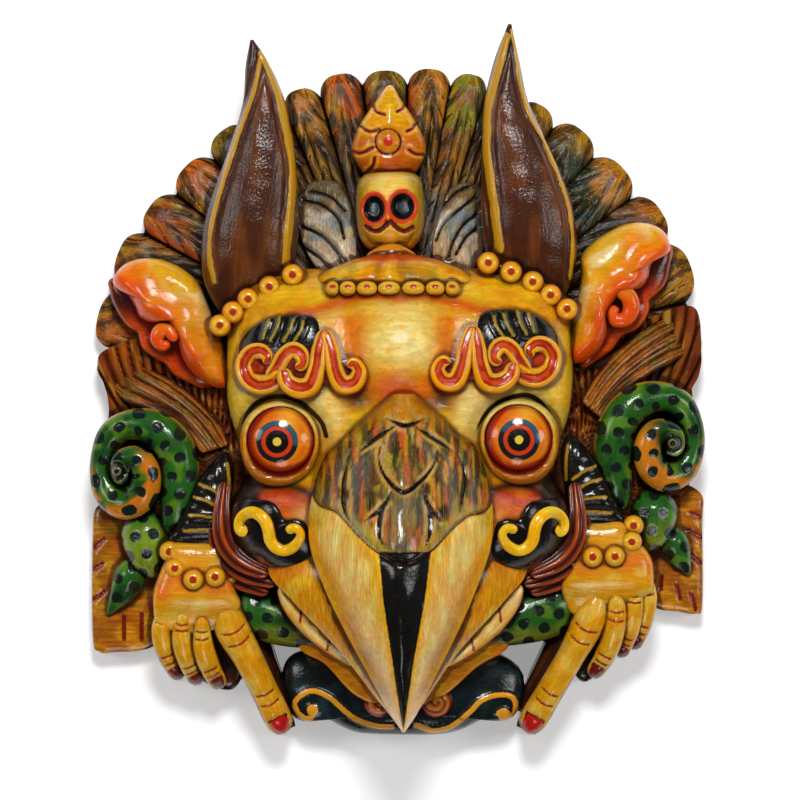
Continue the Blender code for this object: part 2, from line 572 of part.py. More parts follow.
def main():
    for obj in list(bpy.data.objects):
        bpy.data.objects.remove(obj, do_unlink=True)
    carving = helper_collection("carving")
    cutters = helper_collection("cutters")
    mask = carve_fan(bpy.context.scene.collection)
    mask.name = "mask"
    mask.data.name = "mask"
    for carve in (carve_face, carve_eyes, carve_brows, carve_beak, carve_moustache, carve_horns,
                  carve_ears, carve_snakes, carve_hands, carve_sides, carve_bottom, carve_crest):
        carve(carving)
    hollow = hollow_of_the_back(cutters)
    square = UNITS_HIGH * np.array([(-1, -1), (1, -1), (1, 1), (-1, 1)])
    floor = lofted("floor_cut", [[(x, y, z) for x, y in square] for z in (-3 * TRIM, 0)], cutters)
    for helper in (*carving.objects, *cutters.objects):
        helper.hide_render = True
        helper.display_type = "WIRE"
    add_boolean(mask, "UNION", carving)
    add_boolean(mask, "DIFFERENCE", floor, "MANIFOLD")
    add_boolean(mask, "DIFFERENCE", hollow, "MANIFOLD")
    thin = mask.modifiers.new("fewer_facets", "DECIMATE")
    thin.ratio = FACETS_KEPT
    paint = bpy.data.materials.new("painted_wood")
    paint.use_nodes = True
    shader = paint.node_tree.nodes["Principled BSDF"]
    shader.inputs["Base Color"].default_value = (0.62, 0.35, 0.05, 1)
    shader.inputs["Roughness"].default_value = 0.35
    shader.inputs["Metallic"].default_value = 0
    mask.data.materials.append(paint)


main()
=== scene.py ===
"""The garuda mask in full: finer carving, paint, painted shade in the cuts and varnish over the solid in
the frame.

Places are in carving units, a 356th of the mask's height, with +Y to the tips of the horns, +X to the
viewer's right and +Z out of the face. Each form is a closed piece of its own that stands in its neighbours.
"""

import math

import bmesh
import bpy
import numpy as np
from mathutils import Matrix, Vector


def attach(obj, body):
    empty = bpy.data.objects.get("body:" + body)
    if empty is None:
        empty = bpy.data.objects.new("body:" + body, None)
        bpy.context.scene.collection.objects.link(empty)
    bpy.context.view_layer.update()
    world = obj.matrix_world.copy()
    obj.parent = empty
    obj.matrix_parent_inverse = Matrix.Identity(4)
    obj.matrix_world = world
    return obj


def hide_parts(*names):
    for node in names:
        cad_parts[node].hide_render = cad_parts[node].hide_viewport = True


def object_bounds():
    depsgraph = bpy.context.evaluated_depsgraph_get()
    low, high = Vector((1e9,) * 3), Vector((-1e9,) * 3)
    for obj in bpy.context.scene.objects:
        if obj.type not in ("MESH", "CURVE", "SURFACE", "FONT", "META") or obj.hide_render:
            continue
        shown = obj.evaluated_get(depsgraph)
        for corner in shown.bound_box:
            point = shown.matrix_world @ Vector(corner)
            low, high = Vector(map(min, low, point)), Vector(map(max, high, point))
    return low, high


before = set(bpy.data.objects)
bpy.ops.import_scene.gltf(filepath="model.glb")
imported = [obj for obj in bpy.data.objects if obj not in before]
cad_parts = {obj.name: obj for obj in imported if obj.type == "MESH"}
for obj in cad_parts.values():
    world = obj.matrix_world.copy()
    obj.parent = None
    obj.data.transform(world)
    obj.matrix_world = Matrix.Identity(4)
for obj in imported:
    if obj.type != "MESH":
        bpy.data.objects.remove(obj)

CAD_BOX = [list(corner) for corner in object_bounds()]
UNITS_HIGH = 356
UNIT = (CAD_BOX[1][1] - CAD_BOX[0][1]) / UNITS_HIGH

# The photograph was taken from straight above. The camera stands over CAMERA_SPOT, and pixels are
# PIXELS_PER_UNIT to the unit at PHOTO_LEVEL.
PHOTO_ORIGIN = np.array([397.5, 382.0])
PIXELS_PER_UNIT = 2.0
PHOTO_LEVEL = 30
CAMERA_RISE = 3000
CAMERA_SPOT = np.array([1.25, -9.0])

# Fineness of the carving.
STEP = 1.0
FOOT = 0.4
FOOT_STEP = 0.04
UNDER_RINGS = 10
# How far the back of a ridge sinks at its ends and how wide they stay, as shares of its half width.
END_DROP = 0.8
END_WIDTH = 0.15

# Colour and strength of the dry scratches on feathers and hair.
SCRATCHED = ("B8872E", 0.6)

MADE = []


# Curves and fields.


def smooth(rows, count, closed=False):
    """Rows spaced evenly along the smooth curve that passes through the given rows."""
    rows = np.asarray(rows, float)
    if closed:
        spans = len(rows)
        padded = np.vstack([rows[-1:], rows, rows[:2]])
    else:
        spans = len(rows) - 1
        padded = np.vstack([2 * rows[0] - rows[1], rows, 2 * rows[-1] - rows[-2]])
    place = np.linspace(0, spans, count, endpoint=not closed)
    span = np.minimum(place.astype(int), spans - 1)
    t = (place - span)[:, None]
    before, start, end, after = (padded[span + i] for i in range(4))
    return 0.5 * (
        2 * start
        + (end - before) * t
        + (2 * before - 5 * start + 4 * end - after) * t**2
        + (3 * start - before - 3 * end + after) * t**3
    )


def evenly(rows, step=STEP, closed=False):
    """Rows at equal steps of length along the smooth curve through the given rows."""
    dense = smooth(rows, 16 * len(rows), closed)
    if closed:
        dense = np.vstack([dense, dense[:1]])
    run = np.concatenate([[0], np.cumsum(np.hypot(*np.diff(dense[:, :2], axis=0).T))])
    count = max(int(run[-1] / step), 3)
    marks = np.linspace(0, run[-1], count + 1)
    if closed:
        marks = marks[:-1]
    return np.stack([np.interp(marks, run, column) for column in dense.T], 1)


def unit(vectors):
    return vectors / np.linalg.norm(vectors, axis=-1, keepdims=True)


def from_photo(pixels, level=PHOTO_LEVEL):
    """Places of points read from the photograph, on a form that stands at the given level."""
    rows = np.array(pixels, float)
    plan = (rows[:, :2] - PHOTO_ORIGIN) * (1, -1) / PIXELS_PER_UNIT
    nearer = (CAMERA_RISE + PHOTO_LEVEL - level) / CAMERA_RISE
    rows[:, :2] = CAMERA_SPOT + (plan - CAMERA_SPOT) * nearer
    return rows


def spot(pixel, level=PHOTO_LEVEL):
    """The place of one point of the photograph."""
    return from_photo([pixel], level)[0]


def on_side(rows, right, shift):
    """The rows, or on the right side the same rows reflected, with the given sum of both places across."""
    rows = np.array(rows, float)
    if right:
        rows[:, 0] = shift - rows[:, 0]
    return rows


def beside(x, y, line):
    """Distance from each point to a line, the run along it to the nearest point, and the side."""
    line = np.asarray(line, float)[:, :2]
    best = np.full(np.shape(x), 1e9)
    along = np.zeros(np.shape(x))
    side = np.zeros(np.shape(x))
    run = 0.0
    for (ax, ay), (bx, by) in zip(line[:-1], line[1:]):
        dx, dy = bx - ax, by - ay
        span = math.hypot(dx, dy) + 1e-9
        t = np.clip(((x - ax) * dx + (y - ay) * dy) / span**2, 0, 1)
        gx, gy = x - ax - t * dx, y - ay - t * dy
        distance = np.hypot(gx, gy)
        near = distance < best
        best = np.where(near, distance, best)
        along = np.where(near, run + t * span, along)
        side = np.where(near, np.sign(dx * gy - dy * gx), side)
        run += span
    return best, along, side


def near_line(x, y, rows):
    """Distance to the smooth line through the rows."""
    return beside(x, y, smooth(rows, 6 * len(rows)))[0]


def near_curves(x, y, lines):
    """Distance to the nearest of several smooth lines."""
    return np.min([near_line(x, y, line) for line in lines], axis=0)


def near_strokes(x, y, lines):
    """Distance to the nearest of several lines with straight parts."""
    return np.min([beside(x, y, line)[0] for line in lines], axis=0)


def within(x, y, outline, rounded=True):
    """Signed distance to a closed outline, negative inside."""
    ring = smooth(outline, 5 * len(outline), closed=True) if rounded else np.asarray(outline, float)
    ring = np.vstack([ring, ring[:1]])[:, :2]
    distance = beside(x, y, ring)[0]
    odd = np.zeros(np.shape(x), bool)
    for (ax, ay), (bx, by) in zip(ring[:-1], ring[1:]):
        crosses = (ay > y) != (by > y)
        odd ^= crosses & (x < (bx - ax) * (y - ay) / (by - ay + 1e-12) + ax)
    return np.where(odd, -distance, distance)


def ramp(value, low, high):
    """0 below low, 1 above high, with a smooth rise between."""
    t = np.clip((value - low) / (high - low), 0, 1)
    return t * t * (3 - 2 * t)


def bell(value, width):
    return np.exp(-((value / width) ** 2))


def patches(x, y, size, seed, waves=12):
    """Patchy noise, about -1 to 1, with features of the given size."""
    rng = np.random.default_rng(seed)
    total = np.zeros(np.shape(x))
    for _ in range(waves):
        turn, start = rng.uniform(0, 2 * math.pi, 2)
        pace = rng.uniform(0.5, 1.5) * math.pi / size
        total = total + np.sin((x * math.cos(turn) + y * math.sin(turn)) * pace + start)
    return total / math.sqrt(waves)


def ink(code):
    """A linear colour from a hex code."""
    level = np.array([int(code[i:i + 2], 16) for i in (0, 2, 4)]) / 255
    return np.where(level <= 0.04045, level / 12.92, ((level + 0.055) / 1.055) ** 2.4)


def wash(tint, code, share):
    """The tint with a share of another colour over it."""
    return tint + (ink(code) - tint) * np.clip(share, 0, 1)[..., None]


# Pieces.


class Form:
    """A closed piece: points in units, faces, and what is known at each point."""

    def __init__(self, name, points, faces, flow, **marks):
        self.name = name
        self.points = np.asarray(points, float)
        self.faces = faces
        self.flow = np.asarray(flow, float)
        self.marks = marks
        self.lines = []
        self.tint = np.tile(ink("D9A514"), (len(self.points), 1))
        self.look = {}
        MADE.append(self)

    @property
    def x(self):
        return self.points[:, 0]

    @property
    def y(self):
        return self.points[:, 1]

    @property
    def z(self):
        return self.points[:, 2]

    def base(self, code):
        self.tint = np.tile(ink(code), (len(self.points), 1))
        return self

    def over(self, code, share):
        self.tint = wash(self.tint, code, np.broadcast_to(share, len(self.points)))
        return self

    def blotch(self, code, share, size, seed, low, high):
        """Soft patches of another colour, where the noise lies above low."""
        return self.over(code, share * ramp(patches(self.x, self.y, size, seed), low, high))

    def line(self, code, distance, soft=0.25, wobble=0.5):
        """A stroke of paint where the distance is below zero."""
        self.lines.append((code, np.broadcast_to(distance, len(self.points)), soft, wobble))
        return self

    def raise_by(self, height, above=-1e9):
        self.points[:, 2] += np.where(self.points[:, 2] > above, height, 0)
        return self

    def finish(self, **look):
        self.look.update(look)
        return self


def share_of_face(x, y, inset=0.0):
    """How far out each point lies on the face, 1 at its edge or at the inset inside it."""
    away = smooth(FACE_EDGE, 96, closed=True) - FACE_MIDDLE
    turns = np.arctan2(away[:, 1], away[:, 0])
    order = np.argsort(turns)
    reach = np.linalg.norm(away, axis=1)[order] - inset
    dx, dy = x - FACE_MIDDLE[0], y - FACE_MIDDLE[1]
    limit = np.interp(np.arctan2(dy, dx), turns[order], reach, period=2 * math.pi)
    return np.clip(np.hypot(dx, dy) / limit, 0, 1)


def seat(x, y):
    """The underside of a form: just over the flat of the back, or just over its hollow."""
    share = share_of_face(x, y, RIM_WIDTH - BACK_WALL)
    hollow = HOLLOW_EDGE + (HOLLOW_TOP - HOLLOW_EDGE) * np.sqrt(1 - share**3) + BACK_WALL
    return np.where(share < 1, hollow, FOOT + FOOT_STEP * len(MADE))


def face_level(x, y):
    """Height of the plain dome of the face."""
    return FACE_RIM + (FACE_TOP - FACE_RIM) * np.sqrt(1 - share_of_face(x, y) ** 4)


def ring_faces(rows, around, start=0):
    """Quads between closed rings of points, each ring after the last."""
    i, k = np.meshgrid(np.arange(rows - 1), np.arange(around), indexing="ij")
    after = (k + 1) % around
    low = start + i * around
    return np.stack([low + k, low + around + k, low + around + after, low + after], -1).reshape(-1, 4)


def fan_faces(hub, start, around, turned=False):
    """Triangles from one point to a ring."""
    k = np.arange(around)
    after = (k + 1) % around
    first, last = (start + after, start + k) if turned else (start + k, start + after)
    return np.stack([np.full(around, hub), first, last], 1)


def shell_faces(rows, around):
    """Faces of rings that end in a single point on both sides."""
    last = 1 + rows * around
    over, under = fan_faces(0, 1, around), fan_faces(last, last - around, around, turned=True)
    return [over, ring_faces(rows, around, 1), under]


def tube_faces(rows, around):
    """Faces of rings that end in a flat on both sides."""
    ring = np.arange(around)
    return [ring_faces(rows, around), ring[None, ::-1], (ring + (rows - 1) * around)[None, :]]


def relief(name, outline, hub, rim, top, bulge=2.5, carve=None, step=STEP, rounded=True, start=0.0):
    """A domed panel over a closed outline, with upright sides, whose rings begin a share of the way out."""
    edge = evenly(outline, step, closed=True) if rounded else np.asarray(outline, float)
    hub = np.asarray(hub, float)
    spokes = len(edge)
    reach = np.linalg.norm(edge - hub, axis=1).mean()
    rings = max(int((1 - start) * reach / step), 6)
    share = np.linspace(start, 1, rings + 1)[1:]
    plan = hub + share[:, None, None] * (edge - hub)
    rise = np.repeat((rim + (top - rim) * np.sqrt(1 - share**bulge))[:, None], spokes, axis=1)
    hub_rise = np.array(float(top))
    if carve:
        rise = carve(plan[..., 0], plan[..., 1], rise)
        hub_rise = carve(hub[:1], hub[1:], np.array([float(top)]))[0]
    rise = np.maximum(rise, seat(plan[..., 0], plan[..., 1]) + 1)
    hub_rise = max(hub_rise, seat(hub[:1], hub[1:])[0] + 1)
    below_share = np.linspace(1, 0, UNDER_RINGS)[:-1]
    below = hub + below_share[:, None, None] * (edge - hub)
    upper = np.dstack([plan, rise]).reshape(-1, 3)
    lower = np.dstack([below, seat(below[..., 0], below[..., 1])]).reshape(-1, 3)
    points = np.vstack([[(*hub, hub_rise)], upper, lower, [(*hub, seat(hub[:1], hub[1:])[0])]])
    return Form(name, points, shell_faces(rings + len(below_share), spokes), points)


def ridge(name, rows, roundness=0.9, step=STEP):
    """A ridge with a round back and upright sides. Each row is x, y, half width and top height."""
    path = evenly(rows, step)
    count = len(path)
    along = unit(np.gradient(path[:, :2], axis=0))
    across = np.stack([-along[:, 1], along[:, 0]], 1)
    run = np.arange(count) * step
    half, top = path[:, 2].copy(), path[:, 3].copy()
    for distance in (run, run[-1] - run):
        short = np.clip(1 - distance / np.maximum(half, 1e-3), 0, 1)
        ease = np.sqrt(np.clip(1 - short**2, 0.02, 1))
        top -= half * roundness * (1 - ease) * END_DROP
        half *= np.maximum(ease, END_WIDTH)
    sides = max(10, int(math.pi * path[:, 2].max() / step))
    turn = np.linspace(0, math.pi, sides + 1)
    side = np.cos(turn) * half[:, None]
    rise = top[:, None] - roundness * half[:, None] * (1 - np.sin(turn))
    side = np.hstack([side, -half[:, None], -half[:, None], half[:, None], half[:, None]])
    plan = path[:, None, :2] + side[..., None] * across[:, None, :]
    low = seat(plan[:, -4:, 0], plan[:, -4:, 1])
    low[:, [0, 3]] = (low[:, [0, 3]] + rise[:, [-1, 0]]) / 2
    rise = np.hstack([np.maximum(rise, low[:, :1] + 1), low])
    points = np.dstack([plan, rise]).reshape(-1, 3)
    around = side.shape[1]
    runs, offset, halves = np.repeat(run, around), side.reshape(-1), np.repeat(half, around)
    flow = np.stack([runs, offset, points[:, 2]], 1)
    marks = {"run": runs, "offset": offset, "half": halves, "length": run[-1]}
    return Form(name, points, tube_faces(count, around), flow, **marks)


def limb(name, rows, sides=64, step=1.2):
    """A free limb of oval section. Each row is x, y, z, half width and half depth."""
    path = evenly(rows, step)
    along = unit(np.gradient(path[:, :3], axis=0))
    across = unit(np.cross((0, 0, 1), along))
    up = np.cross(along, across)
    turn = np.arange(sides) * 2 * math.pi / sides
    width = np.cos(turn)[None, :, None] * path[:, 3][:, None, None]
    depth = np.sin(turn)[None, :, None] * path[:, 4][:, None, None]
    points = (path[:, None, :3] + width * across[:, None] + depth * up[:, None]).reshape(-1, 3)
    count = len(path)
    run = np.repeat(np.arange(count) * step, sides)
    offset = (np.cos(turn)[None, :] * path[:, 3][:, None]).reshape(-1)
    flow = np.stack([run, offset, points[:, 2]], 1)
    marks = {"run": run, "offset": offset, "up": np.tile(np.sin(turn), count)}
    return Form(name, points, tube_faces(count, sides), flow, **marks)


def ball(name, middle, radii, segments=28, rings=16):
    """An oval ball."""
    tilt = np.pi * np.arange(1, rings) / rings
    turn = 2 * np.pi * np.arange(segments) / segments
    shell = np.stack([
        np.outer(np.sin(tilt), np.cos(turn)),
        np.outer(np.sin(tilt), np.sin(turn)),
        np.outer(np.cos(tilt), np.ones(segments)),
    ], -1).reshape(-1, 3)
    points = np.vstack([[(0, 0, 1)], shell, [(0, 0, -1)]])
    placed = points * radii + middle
    return Form(name, placed, shell_faces(rings - 1, segments), placed, ball=points)


def loft(name, stations, sides, section, step=STEP):
    """A closed body through sections across its length. The section gives x and z round each station."""
    rows = evenly(np.asarray(stations, float), step)
    turn = np.arange(sides) * 2 * math.pi / sides
    x, z = section(rows, turn)
    y = np.repeat(rows[:, :1], sides, axis=1)
    z = np.maximum(z, seat(x, y))
    points = np.dstack([x, y, z]).reshape(-1, 3)
    return Form(name, points, tube_faces(len(rows), sides), points[:, [1, 0, 2]])


# The fan of feathers.

FAN_MIDDLE = (0.25, 5.5)
FAN_RISE = 18
FEATHER_RIM = 9
FEATHER_CROWN = 0.8
FEATHER_LAP = 1.1
FEATHER_NOTCH = 7
FEATHER_LIFT = 3
FEATHER_STEP = 1.15
BARB_PITCH = 8.2
BARB_LEAN = 1.25
QUILL_SIDE = 2.2
FAN_FOOT_REACH = 92
FAN_FOOT = (188, 352)
FAN_FOOT_STEP = 2.0
# Angle, reach and the colours of the tip and the middle of each feather.
FEATHERS = (
    (-7, 149, "A8701A", "4A3212"), (7, 153.5, "B8801C", "5A3A14"), (20, 156.5, "A87818", "3E3A1C"),
    (31, 155, "A8641A", "3A3A1E"), (42, 152.5, "B07018", "1E3A34"), (53, 152.5, "A87A1A", "3C4420"),
    (62, 152, "A87A1C", "5A4016"), (69, 151.5, "8A8A1E", "6A4A1C"), (75.6, 154, "7E861E", "8A5E22"),
    (83.5, 153, "B87A1A", "5C5024"), (92.7, 151.5, "6E6E22", "4E4A26"), (101.5, 152.5, "C05A1A", "4A4030"),
    (110, 150.5, "B8781C", "5A4420"), (117, 149.5, "A8641C", "5A4420"), (126, 150, "8A7A1E", "2E4236"),
    (136, 148.5, "C0641A", "54402C"), (147, 150, "A8581A", "4E3A20"), (156, 153, "A86A1A", "3E3A20"),
    (171, 153.7, "B0621A", "4A3216"), (180, 151.5, "A06A1A", "4A3216"),
)

# Angle and width of each part that is painted green.
GREEN_FEATHERS = ((47, 16), (130, 9), (158, 5))


def barb_line(x, y, side, out):
    """Distance to the nearest of the slanted cuts on each half of a feather."""
    lean = np.abs(side) * BARB_LEAN + 0.5 * out + 3.2 * patches(x, y, 20, 5)
    return np.abs((lean % BARB_PITCH) - BARB_PITCH / 2) + 3 * ramp(3.4 - np.abs(side), 0, 1.4)


def fan_edge():
    """Points round the fan: turn, reach, place across the feather (-1 to 1), its angle and half width."""
    rows = []
    angles = [feather[0] for feather in FEATHERS]
    for i, (angle, reach, _, _) in enumerate(FEATHERS):
        low = (angles[max(i - 1, 0)] + angle) / 2
        high = (angles[min(i + 1, len(angles) - 1)] + angle) / 2
        samples = max(int(math.radians(high - low) * reach / FEATHER_STEP), 8)
        for k in range(samples):
            t = 2 * k / samples - 1
            half = angle - low if t < 0 else high - angle
            notched = reach - FEATHER_NOTCH * abs(t) ** 3
            rows.append((angle + t * half, notched, t, angle, math.radians(half)))
    rows += [(turn, FAN_FOOT_REACH, 1.0, angles[0], 0.16) for turn in np.arange(*FAN_FOOT, FAN_FOOT_STEP)]
    return np.array(rows).T


def make_fan():
    """Feathers side by side, each with a quill down its middle and slanted cuts for its barbs."""
    turns, reaches, place, middle, halves = fan_edge()
    edge = np.stack([FAN_MIDDLE[0] + reaches * np.cos(np.radians(turns)),
                     FAN_MIDDLE[1] + reaches * np.sin(np.radians(turns))], 1)
    away = np.radians(turns - middle)
    # Feathers nearer the top lie over those below.
    lap = -FEATHER_LAP * place * np.sign(np.cos(np.radians(middle)))

    def feathers(x, y, rise):
        if x.ndim < 2:
            return rise
        out = np.hypot(x - FAN_MIDDLE[0], y - FAN_MIDDLE[1])
        share = out / reaches
        drop = np.clip((share - 0.955) / 0.045, 0, 1) ** 2 * 2.4
        to_seam = (1 - np.abs(place)) * halves * out
        crown = FEATHER_CROWN * (1 - np.abs(place) ** 4) * ramp(share, 0.5, 0.9)
        side = away * out
        quill = 0.5 * bell(side, 1.1) - 0.9 * bell(np.abs(side) - QUILL_SIDE, 0.7)
        quill = quill * ramp(share, 0.3, 0.45) * ramp(0.93 - share, 0, 0.06)
        gully = (0.6 + 1.2 * ramp(share, 0.7, 0.9)) * bell(to_seam, 0.7 + 0.5 * ramp(share, 0.88, 0.98))
        barbs = 1.0 * bell(barb_line(x, y, side, out), 0.8) * ramp(0.99 - share, 0, 0.06)
        level = FEATHER_RIM + FEATHER_LIFT + FAN_RISE * (1 - share)
        level = level + lap * ramp(share, 0.4, 0.7)
        return level + crown - drop + quill - gully - barbs + 0.3 * patches(x, y, 9, 8)

    form = relief("fan", edge, FAN_MIDDLE, FEATHER_RIM, FEATHER_RIM + FAN_RISE, carve=feathers,
                  rounded=False, step=FEATHER_STEP, start=0.3)
    paint_fan(form)


def paint_fan(form):
    """Mottled brown feathers with orange and green parts, greyed at their feet beside the skull."""
    x, y = form.x, form.y
    out = np.hypot(x - FAN_MIDDLE[0], y - FAN_MIDDLE[1])
    turn = np.degrees(np.arctan2(y - FAN_MIDDLE[1], x - FAN_MIDDLE[0]))
    turn = np.where(turn < -90, turn + 360, turn)
    angles = np.array([feather[0] for feather in FEATHERS])
    gaps = np.abs(turn[:, None] - angles)
    which = gaps.argmin(1)
    share = out / np.array([feather[1] for feather in FEATHERS])[which]
    side = np.radians(turn - angles[which]) * out
    tip, body = (np.array([ink(feather[i]) for feather in FEATHERS])[which] for i in (2, 3))
    slant = np.abs(side) * BARB_LEAN + 0.5 * out
    along = patches(turn * 1.4, out * 0.7, 6, 11)
    flecks = patches(turn * 1.2, slant * 1.4, 6, 12)
    edge_share = ramp(share + 0.07 * along + 0.05 * flecks, 0.82, 0.9)
    form.tint = body + (tip - body) * edge_share[:, None]
    form.over("8A641A", 0.7 * ramp(flecks, 0.1, 0.6) * ramp(0.9 - share, 0, 0.2))
    rim_side = side / (np.radians(5) * out)
    warm_edge = ramp(rim_side, 0.3, 0.9) * ramp(patches(turn * 0.5, 0 * out, 5, 22), 0.1, 0.6)
    form.over("B4441A", 0.85 * warm_edge * ramp(share, 0.62, 0.78))
    form.over("A8801C", 0.8 * ramp(patches(turn * 1.4, out * 0.9, 5, 26), 0.3, 0.7) * ramp(share, 0.8, 0.9))
    green = sum(bell(turn - angle, width) for angle, width in GREEN_FEATHERS)
    green = green * ramp(patches(turn * 0.9, out * 0.5, 7, 23), -0.7, 0.1)
    form.over("18342A", green * ramp(share, 0.6, 0.75) * ramp(0.97 - share, 0, 0.06))
    form.over("24140A", 0.8 * ramp(patches(turn * 1.6, slant * 1.2, 6, 24), 0.2, 0.7))
    pale = ramp(0.66 - share, 0, 0.14) * ramp(64 - np.abs(x + 3), 0, 16) * ramp(y, 45, 60)
    form.over("8E8478", 0.85 * pale).over("6E8088", 0.7 * pale * ramp(patches(x, y, 9, 25), 0, 0.7))
    line_fan(form, out, side, share, gaps)
    form.flow = np.stack([out, slant, form.z], 1)
    form.finish(streak=0.5, dirt=0.7, long=14, fine=0.9, gloss=0.5, coat=0.22, grain=2.0)
    form.finish(scratches=SCRATCHED)


def line_fan(form, out, side, share, gaps):
    """Dark lines in the cuts between the barbs, between the feathers and beside their quills."""
    form.line("200D06", barb_line(form.x, form.y, side, out) - 0.5, wobble=0.8)
    nearest, second = np.sort(gaps, 1)[:, :2].T
    seam = np.radians(second - nearest) / 2 * out
    form.line("1C0A05", seam - 0.7 * ramp(share, 0.5, 0.8) - 0.3 * ramp(share, 0.86, 0.98), wobble=0.7)
    form.line("200D06", np.abs(np.abs(side) - QUILL_SIDE) - 0.45 + 3 * ramp(share, 0.86, 0.95), wobble=0.6)


# The face.

FACE_EDGE = (
    (0, 58), (-40, 57), (-70, 54), (-83, 42), (-85, 26), (-85, -9), (-77, -44), (-85, -62), (-85, -78),
    (-77, -92), (-58, -103), (-32, -112), (0, -116), (34, -112), (60, -103), (79, -92), (87, -78),
    (87, -62), (79, -44), (87, -9), (87, 26), (85, 42), (72, 54), (40, 57),
)
FACE_MIDDLE = (1, -25)
FACE_TOP = 74
FACE_RIM = 32
BOSS = (1, 20)
BOSS_HALF = (23, 26)
BOSS_RISE = 13
SOCKET_DEPTH = 13
SOCKET_RADIUS = 22
BROW_ARCH = 1.5
BROW_REACH = 27
FOLD_DEPTH = 1.6
FOLD_WIDTH = 4.5
EYES = ((-57.75, -29), (59.75, -28))
RIM_WIDTH = 19
HOLLOW_TOP = 50
HOLLOW_EDGE = 3
BACK_WALL = 2.5
TEMPLE_FOLDS = (((-25, 36), (-24.5, 22), (-22, 6), (-18, -8)), ((27, 36), (26.5, 22), (24, 6), (20, -8)))
EYELINER_LEVEL = 74
EYELINERS = (
    (
        (240.4, 459), (241, 433), (247.6, 412), (261, 400), (281, 396), (299.6, 402), (312, 412),
        (322, 423.5), (326, 436),
    ),
    ((475, 433), (485, 415), (499.6, 402), (522, 395), (537, 399), (550, 414), (556, 433), (554, 451)),
)


def make_face():
    """The domed face, with a boss on the forehead and a hollow for each eye."""

    def features(x, y, rise):
        u, v = (x - BOSS[0]) / BOSS_HALF[0], (y - BOSS[1]) / BOSS_HALF[1]
        rise = rise + BOSS_RISE * np.exp(-(u**2) - v**2)
        for eye in EYES:
            away = np.hypot(x - eye[0], y - eye[1])
            rise = rise - SOCKET_DEPTH * np.exp(-((away / SOCKET_RADIUS) ** 4))
            rise = rise + BROW_ARCH * bell(away - BROW_REACH, 5) * ramp(y - eye[1], -4, 8)
        for rows in TEMPLE_FOLDS:
            rise = rise - FOLD_DEPTH * bell(near_line(x, y, rows), FOLD_WIDTH)
        return rise + 0.3 * patches(x, y, 18, 31)

    paint_face(relief("face", FACE_EDGE, FACE_MIDDLE, FACE_RIM, FACE_TOP, bulge=4, carve=features))


def paint_face(form):
    """Gold and cream, orange round the boss and under the eyes, black beside the moustache, with a painted
    highlight on the boss, painted light on the steep outer edges and a painted shadow under each eye.
    """
    x, y = form.x, form.y
    soft = patches(x, y, 14, 33)
    form.base("D8980A")
    form.over("E4B410", ramp(soft, -0.5, 0.8))
    # Painted highlight: lighter yellow and cream on the middle of the forehead boss.
    form.over("E8C83C", 0.8 * bell(np.hypot(x - 3, (y - 14) / 1.5), 26) * ramp(y, 0, 10))
    form.over("F2DE96", 0.9 * bell(np.hypot(x - 3, (y - 18) / 1.5), 13) * ramp(y, 2, 12))
    brow_foot = ramp(y, -36, -14) * ramp(-y, -4, 3)
    form.over("E6D07A", 0.85 * brow_foot * ramp(np.abs(x - 1), 22, 32))
    # Painted light: the steep outer edges of the face brightened against their shade.
    form.over("F4D030", 0.9 * ramp(np.abs(x - 1), 66, 78) * bell(y + 6, 24))
    form.over("C2480A", 0.9 * bell(y - 42.5 + 0.004 * x**2 + 1.5 * soft, 3.4) * ramp(64 - np.abs(x), 0, 14))
    form.over("DC7008", 0.85 * bell(np.abs(x - 1) - 23, 6.5) * ramp(y, -14, 2) * ramp(38 - y, 0, 10))
    form.over("CC480A", 0.95 * bell(np.hypot((x - 1.5) / 2.3, y + 4.5), 8.5))
    form.over("DE7410", 0.95 * ramp(-y, 49, 56) * ramp(np.abs(x), 36, 46))
    form.over("BC2C0A", 0.9 * bell(y + 57 + 2.5 * patches(x, y, 8, 34), 5.5) * ramp(np.abs(x), 36, 46))
    form.over("E0B070", 0.7 * bell(np.hypot(np.abs(x) - 46, y + 66), 6))
    form.over("6E2A0E", 0.85 * ramp(-y, 68, 84))
    form.over("150D08", ramp(np.abs(x - 1), 68, 71.5) * ramp(-y, 40, 47))
    form.over("33241C", 0.9 * bell(np.hypot((np.abs(x - 1) - 21) / 1.3, y + 9), 5.0))
    # Painted shadow: a dark band under the bag of each lower lid.
    form.over("241008", 0.95 * bell(y + 51 + 0.02 * (np.abs(x) - 58) ** 2, 3) * ramp(np.abs(x), 34, 42))
    for pixels in EYELINERS:
        line = smooth(from_photo(pixels, EYELINER_LEVEL), 40)
        distance, along, _ = beside(x, y, line)
        form.line("120B07", distance - 1.2 * ramp(along, -4, 14), wobble=0.3)
    form.finish(streak=0.16, dirt=0.75, long=9, fine=3, grain=2.4)


# Eyes.

EYE_RADIUS = 18
EYE_RIM = 64
EYE_TOP = 73
LID_RIM = 56
LID_TOP = 67
LID_WIDTH = 2.4
LID_HANG = 4
IRISES = ((277, 441.8), (519, 439.8))
# Colour of each ring of the iris and its outer radius in units, from the outside in.
IRIS_RINGS = (("14181A", 10.3), ("C8380E", 7.7), ("100C0A", 5.7), ("DCC040", 2.1))


